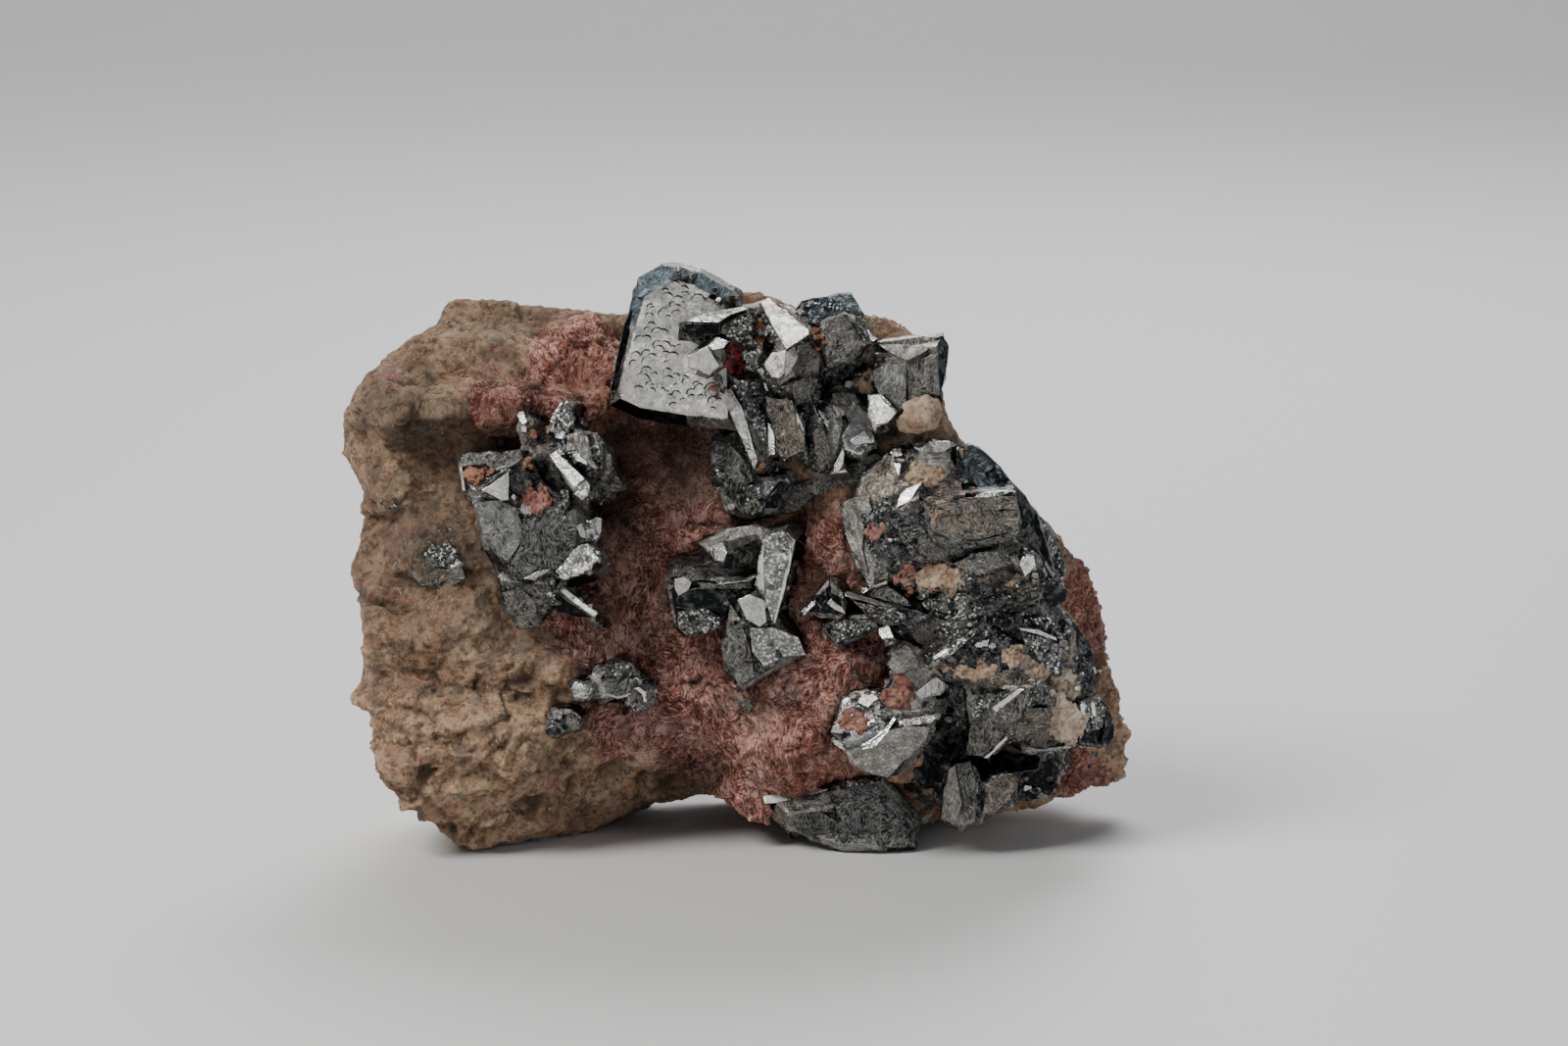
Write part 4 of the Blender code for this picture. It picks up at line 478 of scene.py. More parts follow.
# Areas of the rock: middle u and v, radius in pixels and strength
RED_AREAS = (
    (610, 380, 62, 1.0), (560, 375, 40, 0.6), (500, 400, 30, 0.6), (520, 415, 34, 0.9),
    (640, 480, 80, 1.0), (560, 440, 40, 0.9), (720, 480, 80, 1.0), (610, 570, 60, 0.7),
    (660, 570, 80, 1.0), (640, 640, 70, 0.9), (720, 660, 90, 1.0), (665, 715, 50, 0.8),
    (620, 742, 32, 0.8), (770, 755, 84, 1.0), (840, 700, 80, 1.0), (850, 560, 60, 1.0),
    (850, 780, 70, 1.0), (900, 690, 60, 1.0), (775, 825, 40, 1.0),
    (400, 385, 26, 0.5), (420, 650, 40, 0.35), (375, 700, 30, 0.4), (470, 640, 40, 0.4),
    (1105, 610, 34, 1.2), (1120, 650, 24, 1.0), (1105, 790, 34, 1.2), (560, 640, 40, 0.3),
)
BRIGHT_AREAS = (
    (520, 412, 36, 1.0), (600, 395, 50, 0.9), (830, 785, 50, 1.0), (1105, 600, 40, 1.0),
    (1105, 790, 34, 0.9), (620, 420, 30, 0.9), (855, 560, 40, 0.5), (880, 675, 22, 0.9),
)
# Painted shade: dark patches in the hollows and under the wide plate, where shade falls
PAINTED_SHADE_AREAS = (
    (660, 470, 50, 1.0), (620, 520, 34, 0.9), (700, 445, 40, 0.7), (640, 560, 30, 0.5),
    (590, 605, 26, 0.7), (800, 690, 30, 0.5), (700, 505, 30, 0.6), (510, 448, 40, 0.5),
    (440, 455, 34, 0.5), (650, 640, 24, 0.25), (740, 545, 20, 0.4), (820, 540, 18, 0.7),
    (600, 812, 60, 0.4), (690, 800, 40, 0.6), (900, 600, 20, 0.5), (620, 450, 30, 0.6),
)
STAIN_AREAS = (
    (425, 440, 34, 1.0), (375, 430, 16, 0.8), (435, 560, 42, 0.9), (545, 330, 18, 0.5),
    (505, 322, 14, 0.5), (400, 500, 20, 0.5), (540, 640, 34, 0.6), (400, 400, 20, 0.4),
    (480, 560, 30, 0.6), (740, 490, 40, 0.6), (760, 720, 26, 0.7), (805, 710, 16, 0.8),
    (700, 790, 30, 0.5), (470, 620, 20, 0.4), (1120, 690, 20, 0.5), (442, 391, 9, 1.0),
    (543, 401, 11, 1.0), (388, 373, 8, 0.7), (381, 401, 7, 0.7), (487, 372, 9, 0.7),
    (505, 358, 9, 0.6), (500, 385, 8, 0.6), (505, 672, 22, 0.5), (387, 710, 9, 0.6),
    (505, 855, 10, 0.5), (485, 775, 14, 0.6), (478, 505, 14, 0.8),
)

# Ledges of the broken rock: height in mm and the corners (u, v) of the upper lip
LEDGES = (
    (1.0, (395, 432, 425, 422, 447, 428, 482, 424, 500, 440, 530, 442)),
    (0.6, (363, 717, 385, 727, 395, 737, 425, 748, 450, 755)),
    (0.6, (385, 795, 430, 805, 450, 822, 465, 835, 500, 842)),
    (0.5, (500, 842, 530, 828, 545, 815, 555, 812)),
    (0.5, (505, 790, 520, 795, 545, 785, 560, 780)),
    (0.4, (535, 752, 550, 758, 570, 757)),
    (0.5, (372, 522, 390, 524, 410, 516, 430, 520)),
    (0.5, (395, 612, 410, 620, 430, 622)),
    (0.5, (415, 585, 440, 592, 462, 590, 475, 582)),
    (0.4, (470, 690, 500, 700, 540, 690, 570, 700)),
)
LEDGE_REACH = 30.0
CRACKS = (
    (690, 540, 712, 536, 750, 533, 775, 530, 800, 523, 822, 510, 830, 503),
    (448, 690, 435, 700, 428, 712), (410, 720, 430, 725, 445, 738),
    (475, 716, 455, 725, 440, 730), (490, 690, 485, 700, 488, 708),
    (395, 388, 410, 392, 425, 391), (368, 606, 378, 612, 392, 614),
    (700, 700, 716, 694, 728, 700), (540, 520, 560, 560, 575, 590),
)
CRACK_REACH = 8.0
LEDGE_LIP = 3.0             # pixels, half the height of a ledge's step
LEDGE_FADE = 9.0            # pixels over which its height fades
LEDGE_SHADE = 0.7           # darkness under a ledge
CRACK_WIDTH = 2.4           # pixels
CRACK_DEPTH = 0.45          # mm
CRACK_SHADE = 0.9           # darkness in a crack
LINE_WANDER = 5.0           # pixels by which ledges and cracks wander
AREA_WANDER = 22.0          # pixels by which the edges of the areas wander
# The tan rock is also painted paler between these rows, as painted light
CRAG_ROWS = (620.0, 760.0)  # pixel rows between which the tan rock grows craggy
SEEN_DEPTH = (6.0, 16.0)    # mm towards the back between which the listed areas end

# Layers of leaning facets: weight and size in mm
ROCK_BREAKS = ((0.32, 1.9), (0.38, 0.9))
FIBRE_BREAKS = ((0.6, 4.2), (0.3, 1.2))
CRYSTAL_BREAKS = ((1.0, 2.4), (0.7, 1.1))
GRAIN_BREAKS = ((0.8, 1.1), (0.8, 0.5))
NODULE_BREAKS = ((1.0, 2.4), (0.7, 0.9))

NODULE_COLOURS = ((0.48, 0.32, 0.21), (0.60, 0.47, 0.35), (0.22, 0.12, 0.08))
# Colour of the painted glints on the tan rock
GLINT = (0.8, 0.8, 0.78)
NODULE_VOXEL = 0.35         # mm
NODULE_RELIEF = 0.25        # mm
LEAST_RELIEF = 0.005        # mm, under which a face stays flat
BROKEN_RELIEF = 0.1         # mm, past which the breaks of a face differ in tone
FUSED_BREAKAGE = 1.8        # relief of the fused groups to that of the others

# Angle in degrees past which an edge of a piece looks sharp
ROCK_EDGE = 60.0
GROUP_EDGE = 24.0
SHARD_EDGE = 30.0
MARK_SHARP_EDGE = 20.0
GRAIN_EDGE = 50.0

SKY = (0.9, 0.93, 1.0)
WHITE = (1.0, 1.0, 1.0)

# Lights: place, size, share of the key power and colour
LIGHTS = {
    "key": ((-0.38, -0.26, 0.50), 0.26, 1.0, (1.0, 0.98, 0.95)),
    "fill": ((0.60, -0.30, 0.22), 0.30, 0.16, (0.92, 0.96, 1.0)),
    "back": ((0.10, 0.45, 0.45), 0.30, 0.5, (0.95, 0.97, 1.0)),
    "front": ((-0.20, -0.85, 0.10), 0.36, 0.14, WHITE),
    "backdrop": ((0.0, 1.1, 0.9), 0.8, 1.6, WHITE),
}

FLOOR_HALF_WIDTH = 2.0      # metres, as the next four
FLOOR_FRONT = -2.0
FLOOR_BEND = 0.9            # where it begins to rise
BEND_RADIUS = 0.5
BACKDROP_HEIGHT = 1.6
BEND_STEPS = 16
FLOOR_ROUGHNESS = 0.6


def length(name, description, default):
    """A size that the user can change, with its default in millimetres."""
    return FloatProperty(name=name, description=description, default=default * MM,
                         unit="LENGTH", precision=5)


def tint(name, description, default):
    """A colour that the user can change."""
    return FloatVectorProperty(name=name, description=description, default=default, size=3,
                               subtype="COLOR")


class RockSettings(bpy.types.PropertyGroup):
    """Sizes and colours of the rock matrix."""
    voxel: length("Voxel", "Grain of the rock's mesh", 0.77)
    overlap: length("Overlap", "How far the rock hugs the crystals in its pockets", 0.28)
    lump_height: length("Lump height", "Relief of the broken tan rock", 0.42)
    fibre_height: length("Fibre height", "Relief of the fibrous red rock", 0.36)
    tan: tint("Tan", "Colour of the granular rock", (0.72, 0.46, 0.285))
    tan_pale: tint("Pale tan", "Colour of its raised grains", (0.84, 0.64, 0.44))
    tan_dark: tint("Dark tan", "Colour of its pits", (0.19, 0.10, 0.062))
    red: tint("Red", "Colour of the fibrous rock", (0.095, 0.036, 0.029))
    red_pale: tint("Pale red", "Colour of its fibres", (0.88, 0.56, 0.47))
    brick: tint("Brick", "Colour between its fibres and its hollows", (0.46, 0.165, 0.118))
    rust: tint("Rust", "Colour of the rusty patches of the fibrous rock", (0.54, 0.20, 0.125))
    blush: tint("Blush", "Colour of the pink patches of the granular rock",
                (0.42, 0.205, 0.155))
    # Colour of the painted shade in the hollows, under the wide plate, under ledges and in cracks
    hollow: tint("Hollow", "Colour of the rock in deep hollows", (0.035, 0.018, 0.014))
    stain: tint("Stain", "Colour of the grey-green stains", (0.085, 0.09, 0.08))


class CrystalSettings(bpy.types.PropertyGroup):
    """Sizes and colours of the metallic crystals."""
    mesh_step: length("Mesh step", "Longest edge of a crystal's mesh", 0.55)
    # The darkest colour also serves painted shade and dark reflections
    dark: tint("Dark metal", "Colour of the darkest faces", (0.012, 0.013, 0.015))
    middle: tint("Grey metal", "Colour of the common faces", (0.26, 0.26, 0.245))
    # The brightest colour also serves the painted highlights
    pale: tint("Bright metal", "Colour of the brightest faces", (0.95, 0.94, 0.90))
    # On the wide plate's upper bevel this blue tint is a painted reflection of bluish light
    blue: tint("Blue tarnish", "Tint of the blue faces", (0.56, 0.74, 0.90))
    dust: tint("Dust", "Tint of the faces with a film of rock dust", (1.0, 0.84, 0.70))


class StageSettings(bpy.types.PropertyGroup):
    """Floor and lights."""
    floor: tint("Floor", "Colour of the floor and backdrop", (0.72, 0.72, 0.71))
    key_power: FloatProperty(
        name="Key light", description="Power of the large light from the upper left",
        default=4.2, unit="POWER")
    world_strength: FloatProperty(
        name="Sky", description="Strength of the even light from all round", default=0.12)


def sight_ray(u, v):
    """Direction of the line of sight through a pixel."""
    across = (u - VIEW_WIDTH / 2) / PIXELS_PER_METRE
    up = (VIEW_HEIGHT / 2 - v) / PIXELS_PER_METRE
    return (FORWARD * EYE_DISTANCE + Vector((across, 0.0, 0.0)) + UPWARD * up).normalized()


def pixel_of(point):
    """The pixel of the reference view in which a point is seen."""
    offset = point - EYE
    scale = PIXELS_PER_METRE * EYE_DISTANCE / offset.dot(FORWARD)
    return (VIEW_WIDTH / 2 + offset.x * scale,
            VIEW_HEIGHT / 2 - offset.dot(UPWARD) * scale)


def area_weight(u, v, areas):
    """How strongly a pixel lies in any of some round areas, from 0 to 1."""
    total = 0.0
    for middle_u, middle_v, radius, strength in areas:
        gap = ((u - middle_u) ** 2 + (v - middle_v) ** 2) / radius ** 2
        if gap < 4.0:
            total += strength * math.exp(-gap * 1.2)
    return min(1.0, total)


def smooth_step(low, high, value):
    """0 below low, 1 above high, and an even curve between."""
    share = max(0.0, min(1.0, (value - low) / (high - low)))
    return share * share * (3.0 - 2.0 * share)


def broken_facets(point, size):
    """Height of flat facets that lean every way, one to each cell of this size."""
    centre = noise.voronoi(point / size)[1][0]
    lean = Vector((noise.noise(centre * 7.3), noise.noise(centre * 6.1 + Vector((5, 1, 2))),
                   noise.noise(centre * 5.3 + Vector((2, 7, 4)))))
    return (point / size - centre).dot(lean) * 2.0 + noise.noise(centre * 3.1)


def strands(point, size, width):
    """Height of strands that run one way in each cell of this size."""
    centre = noise.voronoi(point / size)[1][0]
    heading = Vector((noise.noise(centre * 2.3 + Vector((4, 1, 0))),
                      noise.noise(centre * 2.7 + Vector((0, 5, 1))) * 0.5,
                      noise.noise(centre * 3.1 + Vector((1, 0, 6))))).normalized()
    local = point - centre * size
    local -= heading * local.dot(heading) * 0.88
    return noise.noise(local / width + centre * 9.1)


def breaks(point, layers):
    """Height of several layers of leaning facets."""
    return sum(weight * broken_facets(point, size) for weight, size in layers)


def verts_of(parts):
    return [part for part in parts if isinstance(part, bmesh.types.BMVert)]


def edges_of(parts):
    return [part for part in parts if isinstance(part, bmesh.types.BMEdge)]


def merged_copy(node):
    """A CAD node's mesh as one connected surface."""
    bm = bmesh.new()
    bm.from_mesh(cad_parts[node].data)
    bmesh.ops.remove_doubles(bm, verts=bm.verts[:], dist=1e-6)
    return bm


def make_piece(name, bm, material, sharp_angle, replaced=()):
    """Turn a mesh into a piece that rides with the specimen."""
    mesh = bpy.data.meshes.new(name)
    bm.to_mesh(mesh)
    bm.free()
    mesh.shade_smooth()
    mesh.set_sharp_from_angle(angle=math.radians(sharp_angle))
    mesh.materials.append(material)
    piece = bpy.data.objects.new(name, mesh)
    bpy.context.scene.collection.objects.link(piece)
    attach(piece, "root")
    if replaced:
        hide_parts(*replaced)


def remeshed(bm, voxel):
    """The same body with even square faces of this size."""
    mesh = bpy.data.meshes.new("remesh")
    bm.to_mesh(mesh)
    bm.free()
    obj = bpy.data.objects.new("remesh", mesh)
    bpy.context.scene.collection.objects.link(obj)
    modifier = obj.modifiers.new("remesh", "REMESH")
    modifier.mode = "VOXEL"
    modifier.voxel_size = voxel
    depsgraph = bpy.context.evaluated_depsgraph_get()
    made = bmesh.new()
    made.from_mesh(obj.evaluated_get(depsgraph).to_mesh())
    bpy.data.objects.remove(obj)
    bpy.data.meshes.remove(mesh)
    return made


def swell(bm, reach):
    """Move a surface outwards."""
    bm.normal_update()
    for vert in bm.verts:
        vert.co += vert.normal * reach


def fused(bm, voxel, groove):
    """A group with the grooves between its crystals closed."""
    bm = remeshed(bm, voxel)
    swell(bm, groove / 2)
    bm = remeshed(bm, voxel)
    swell(bm, -groove / 2)
    return bm


def refine(bm, step):
    """Divide faces until no edge is longer than step."""
    bmesh.ops.triangulate(bm, faces=bm.faces[:])
    for _ in range(MOST_PASSES):
        long_edges = [edge for edge in bm.edges if edge.calc_length() > step]
        if not long_edges:
            return
        bmesh.ops.subdivide_edges(bm, edges=long_edges, cuts=1)
        wide = [face for face in bm.faces if len(face.verts) > 3]
        bmesh.ops.triangulate(bm, faces=wide, quad_method="SHORT_EDGE")


def add_node(tree, kind, inputs=None, **settings):
    """Add a shader node; each input is a value or another node's output."""
    made = tree.nodes.new("ShaderNode" + kind)
    for key, value in settings.items():
        setattr(made, key, value)
    for key, value in (inputs or {}).items():
        if isinstance(value, bpy.types.NodeSocket):
            tree.links.new(value, made.inputs[key])
        else:
            made.inputs[key].default_value = value
    return made


def maths(tree, operation, first, second, clamp=False):
    return add_node(tree, "Math", {0: first, 1: second}, operation=operation,
                    use_clamp=clamp).outputs[0]


def times(tree, first, second, clamp=False):
    return maths(tree, "MULTIPLY", first, second, clamp)


def plus(tree, first, second, clamp=False):
    return maths(tree, "ADD", first, second, clamp)


def minus(tree, first, second):
    return maths(tree, "SUBTRACT", first, second)


def vector_maths(tree, operation, first, second):
    """Maths on vectors; to scale one, the second is a number."""
    key = "Scale" if operation == "SCALE" else 1
    return add_node(tree, "VectorMath", {0: first, key: second},
                    operation=operation).outputs[0]


def rgba(colour):
    """A plain colour with its alpha; a socket stays as it is."""
    return colour if isinstance(colour, bpy.types.NodeSocket) else (*colour, 1.0)


def mix_colour(tree, factor, first, second, blend="MIX"):
    inputs = {0: factor, 6: rgba(first), 7: rgba(second)}
    return add_node(tree, "Mix", inputs, data_type="RGBA", blend_type=blend).outputs[2]


def overlaid(tree, colour, *layers):
    """A colour with others laid over it, each by its own share."""
    for share, laid in layers:
        colour = mix_colour(tree, share, colour, laid)
    return colour


def remap(tree, value, low, high, to_low=0.0, to_high=1.0):
    inputs = {"Value": value, "From Min": low, "From Max": high, "To Min": to_low,
              "To Max": to_high}
    return add_node(tree, "MapRange", inputs).outputs[0]


def attribute(tree, name):
    return add_node(tree, "Attribute", attribute_name=name).outputs["Fac"]


def noise_field(tree, place, scale, detail, roughness=0.5, distortion=0.0):
    inputs = {"Vector": place, "Scale": scale, "Detail": detail, "Roughness": roughness,
              "Distortion": distortion}
    return add_node(tree, "TexNoise", inputs).outputs[0]


def millimetres(tree):
    """Object coordinates in millimetres."""
    place = add_node(tree, "TexCoord").outputs["Object"]
    return vector_maths(tree, "SCALE", place, 1.0 / MM)


def make_group(name, inputs, outputs):
    """An empty node group with float or vector inputs and float outputs."""
    tree = bpy.data.node_groups.new(name, "ShaderNodeTree")
    for socket, kind, default in inputs:
        made = tree.interface.new_socket(socket, in_out="INPUT",
                                         socket_type="NodeSocket" + kind)
        if kind == "Float":
            made.default_value = default
    for socket in outputs:
        tree.interface.new_socket(socket, in_out="OUTPUT", socket_type="NodeSocketFloat")
    return tree, tree.nodes.new("NodeGroupInput"), tree.nodes.new("NodeGroupOutput")


def streak_group():
    """Fine streaks that run one way in each cell, as in fibres and splintery breaks."""
    name = "Streaks"
    if name in bpy.data.node_groups:
        return bpy.data.node_groups[name]
    tree, given, result = make_group(name, (
        ("Place", "Vector", None), ("Cell", "Float", 4.0), ("Width", "Float", 0.3),
        ("Length", "Float", 0.1)), ("Streak", "Cell Tone"))
    place = given.outputs["Place"]
    per_mm = maths(tree, "DIVIDE", 1.0, given.outputs["Cell"])
    warp = add_node(tree, "TexNoise", {"Vector": place, "Scale": per_mm})
    bend = vector_maths(tree, "SCALE", warp.outputs["Color"], 3.0)
    bent = vector_maths(tree, "ADD", place, bend)
    cells = add_node(tree, "TexVoronoi", {"Vector": bent, "Scale": per_mm})
    local = vector_maths(tree, "SUBTRACT", bent, cells.outputs["Position"])
    turn = vector_maths(tree, "SCALE", cells.outputs["Color"], math.tau)
    turned = add_node(tree, "VectorRotate", {"Vector": local, "Rotation": turn},
                      rotation_type="EULER_XYZ").outputs[0]
    stretch = add_node(tree, "CombineXYZ", {0: given.outputs["Length"], 1: 1.0, 2: 1.0})
    squeezed = vector_maths(tree, "MULTIPLY", turned, stretch.outputs[0])
    shifted = vector_maths(tree, "ADD", squeezed, turn)
    fine = maths(tree, "DIVIDE", 1.0, given.outputs["Width"])
    lines = noise_field(tree, shifted, fine, 4.0, 0.6)
    tree.links.new(lines, result.inputs["Streak"])
    shade = add_node(tree, "SeparateColor", {0: cells.outputs["Color"]}).outputs[2]
    tree.links.new(shade, result.inputs["Cell Tone"])
    return tree


def streaks_at(tree, place, cell, width):
    """The streaks in a material, with the sizes of a cell and of a streak in mm."""
    return add_node(tree, "Group", {"Place": place, "Cell": cell, "Width": width},
                    node_tree=streak_group()).outputs


def speck_group():
    """Scattered specks: cells of a given size, of which a given share is set."""
    name = "Specks"
    if name in bpy.data.node_groups:
        return bpy.data.node_groups[name]
    tree, given, result = make_group(name, (
        ("Place", "Vector", None), ("Size", "Float", 0.5), ("Share", "Float", 0.2)),
        ("Speck", "Tone"))
    per_mm = maths(tree, "DIVIDE", 1.0, given.outputs["Size"])
    cells = add_node(tree, "TexVoronoi", {"Vector": given.outputs["Place"], "Scale": per_mm})
    parts = add_node(tree, "SeparateColor", {0: cells.outputs["Color"]})
    chosen = maths(tree, "LESS_THAN", parts.outputs[0], given.outputs["Share"])
    tree.links.new(chosen, result.inputs["Speck"])
    tree.links.new(parts.outputs[1], result.inputs["Tone"])
    return tree


def specks_at(tree, place, size, share):
    """The specks in a material, with their size in mm and the share that is set."""
    return add_node(tree, "Group", {"Place": place, "Size": size, "Share": share},
                    node_tree=speck_group()).outputs


def new_material(name):
    """A material, its node tree, its shader and Object coordinates in millimetres."""
    material = bpy.data.materials.new(name)
    material.use_nodes = True
    tree = material.node_tree
    return material, tree, tree.nodes["Principled BSDF"], millimetres(tree)


def bump(tree, shader, height, distance):
    """Fine relief of the given height in millimetres."""
    made = add_node(tree, "Bump", {"Height": height, "Distance": distance * MM})
    tree.links.new(made.outputs[0], shader.inputs["Normal"])


def rock_material(look):
    """Granular tan rock, fibrous red rock and grey stains, by the mesh's own areas, with painted
    shade, painted light and shade by height, and painted glints.
    """
    material, tree, shader, place = new_material("rock")
    red_area, bright_area, stain_area, shadow_area, height = [
        attribute(tree, key) for key in ROCK_VALUES]
    mottle = noise_field(tree, place, 0.45, 6.0, 0.65)
    blush = noise_field(tree, place, 0.22, 7.0, 0.7, 0.6)
    grain = noise_field(tree, place, 3.2, 8.0, 0.8)
    pebble = noise_field(tree, place, 1.25, 6.0, 0.72, 0.4)
    streaks = streaks_at(tree, place, 3.6, 0.26)
    specks = specks_at(tree, place, 0.42, 0.12)
    spots = specks_at(tree, place, 1.3, 0.06)
    # Places of the painted glints
    glints = specks_at(tree, place, 0.17, 0.004)
    spot = times(tree, spots["Speck"], remap(tree, grain, 0.35, 0.6, 0.2, 0.8))
    spot_colour = [2.2 * part for part in look.stain]

    tan = mix_colour(tree, remap(tree, pebble, 0.40, 0.56), look.tan_dark, look.tan)
    tan = overlaid(
        tree, tan,
        (remap(tree, grain, 0.30, 0.56, 0.55, 0.0), look.tan_dark),
        (remap(tree, grain, 0.54, 0.66, 0.0, 0.7), look.tan_pale),
        (remap(tree, mottle, 0.42, 0.65, 0.0, 0.6), look.tan_pale),
        (remap(tree, blush, 0.50, 0.62, 0.0, 0.55), look.blush),
        (times(tree, specks["Speck"], 0.45), look.stain),
        (spot, spot_colour))

    fibre = remap(tree, streaks["Streak"], 0.36, 0.64, -0.04, 1.14)
    for part in (remap(tree, pebble, 0.36, 0.60, -0.35, 0.20),
                 remap(tree, streaks["Cell Tone"], 0.0, 1.0, -0.20, 0.25),
                 remap(tree, blush, 0.42, 0.58, -0.12, 0.25),
                 remap(tree, bright_area, 0.0, 1.0, 0.0, -0.15)):
        fibre = plus(tree, fibre, part)
    rusty = maths(tree, "MAXIMUM", remap(tree, mottle, 0.50, 0.62, 0.0, 0.25),
                  times(tree, bright_area, 0.35))
    red = overlaid(
        tree, look.red,
        (remap(tree, fibre, 0.0, 0.45), look.brick),
        (remap(tree, fibre, 0.45, 1.0), look.red_pale),
        (rusty, look.rust))

    edge = plus(tree, red_area, times(tree, minus(tree, mottle, 0.5), 0.9))
    redness = remap(tree, edge, 0.32, 0.68)
    stained = times(tree, stain_area, remap(tree, grain, 0.3, 0.6))
    colour = overlaid(tree, tan, (redness, red), (stained, look.stain))
    # Painted light and shade by height: paler on raised relief and on the craggy tan rock, darker
    # in low relief
    shade = remap(tree, height, 0.2, 1.0, 0.56, 1.62)
    shade_colour = add_node(tree, "CombineColor", {0: shade, 1: shade, 2: shade})
    colour = mix_colour(tree, 1.0, colour, shade_colour.outputs[0], "MULTIPLY")
    # Painted glints: rare near-white specks on the tan rock, away from the red
    glint = times(tree, glints["Speck"], minus(tree, 1.0, redness))
    # Painted shade, then painted glints, laid over the rock's colour
    colour = overlaid(tree, colour, (shadow_area, look.hollow), (glint, GLINT))
    tree.links.new(colour, shader.inputs["Base Color"])
    tree.links.new(remap(tree, glint, 0.0, 1.0, 0.85, 0.3), shader.inputs["Roughness"])
    shader.inputs["Specular IOR Level"].default_value = 0.3
    rough = plus(tree, grain, times(tree, pebble, 0.8))
    tan_bump = times(tree, rough, minus(tree, 1.3, redness))
    red_bump = times(tree, streaks["Streak"], times(tree, redness, 1.6))
    bump(tree, shader, plus(tree, tan_bump, red_bump), 0.8)
    return material


def crystal_material(look):
    """Dark metal whose faces differ in tone and polish, by the mesh's own face values; the tones
    also paint in highlights, shade and dark reflections, and bright flakes paint in glints.
    """
    name = "crystal"
    if name in bpy.data.materials:
        return bpy.data.materials[name]
    material, tree, shader, place = new_material(name)
    tone, gloss, painted_glint_speckle, hue = [attribute(tree, key) for key in LOOK_VALUES[:RELIEF]]
    streaks = streaks_at(tree, place, 3.4, 0.20)
    specks = specks_at(tree, place, 0.24, 0.5)
    cloud = noise_field(tree, place, 0.9, 5.0, 0.6)
    matte = minus(tree, 1.0, gloss)
    streak = remap(tree, streaks["Streak"], 0.3, 0.7, -0.425, 0.425)
    clouds = remap(tree, cloud, 0.3, 0.7, -0.15, 0.15)
    # Painted glints: rare bright flakes that raise the tone of the faces whose look calls for them
    painted_glint_base = minus(tree, maths(tree, "POWER", specks["Tone"], 5.0), 0.14)
    painted_glints = times(tree, times(tree, painted_glint_base, painted_glint_speckle), 0.9)
    value = plus(tree, plus(tree, tone, times(tree, streak, matte)), painted_glints)
    value = plus(tree, value, clouds, clamp=True)
    colour = overlaid(tree, look.dark, (remap(tree, value, 0.0, 0.4), look.middle),
                      (remap(tree, value, 0.4, 1.0), look.pale))
    dusty = times(tree, hue, remap(tree, cloud, 0.35, 0.6, -0.4, -1.2), clamp=True)
    film = overlaid(tree, WHITE, (times(tree, hue, 1.0, clamp=True), look.blue),
                    (dusty, look.dust))
    colour = mix_colour(tree, 1.0, colour, film, "MULTIPLY")
    tree.links.new(colour, shader.inputs["Base Color"])
    tree.links.new(remap(tree, gloss, 0.0, 0.7, 0.75, 1.0), shader.inputs["Metallic"])
    rough = remap(tree, gloss, 0.0, 1.0, 0.60, 0.12)
    rough = plus(tree, rough, times(tree, clouds, 0.6), clamp=True)
    tree.links.new(rough, shader.inputs["Roughness"])
    relief = plus(tree, times(tree, streaks["Streak"], matte), times(tree, cloud, 0.7))
    bump(tree, shader, relief, 0.3)
    return material


def crust_material(name, main, pale, dark, roughness=CRUST_ROUGHNESS):
    """Sugary mineral crust."""
    material, tree, shader, place = new_material(name)
    grain = noise_field(tree, place, 2.2, 8.0, 0.7)
    mottle = noise_field(tree, place, 0.6, 4.0)
    specks = specks_at(tree, place, 0.35, 0.12)
    colour = overlaid(
        tree, dark,
        (remap(tree, grain, 0.38, 0.56), main),
        (remap(tree, mottle, 0.42, 0.66), pale),
        (times(tree, specks["Speck"], 0.6), dark))
    tree.links.new(colour, shader.inputs["Base Color"])
    shader.inputs["Roughness"].default_value = roughness
    bump(tree, shader, grain, 0.35)
    return material


def broken_rock(place, crag):
    """Height of granular rock, which is more craggy and ridged where crag nears 1."""
    bent = place + Vector((noise.noise(place / 6.0), 0.0, noise.noise(place / 5.0))) * 3.0
    slant = Vector(((bent.x + bent.z) * 0.16, bent.y * 0.2, (bent.z - bent.x) * 0.42))
    ridges = 1.0 - 2.4 * abs(noise.noise(slant))
    flat = Vector((place.x * 0.6 + place.z * 0.2, place.y, place.z * 1.2))
    return ((0.35 + 1.35 * crag) * broken_facets(flat, 4.4) + (0.2 + 1.4 * crag) * ridges
            + breaks(place, ROCK_BREAKS) + 0.45 * noise.noise(place / 0.5))


def fibrous_rock(place):
    """Height of the silky fibres of the red rock."""
    return (1.2 * strands(place, 4.5, 0.6) + 0.9 * strands(place, 3.0, 0.42)
            + breaks(place, FIBRE_BREAKS))


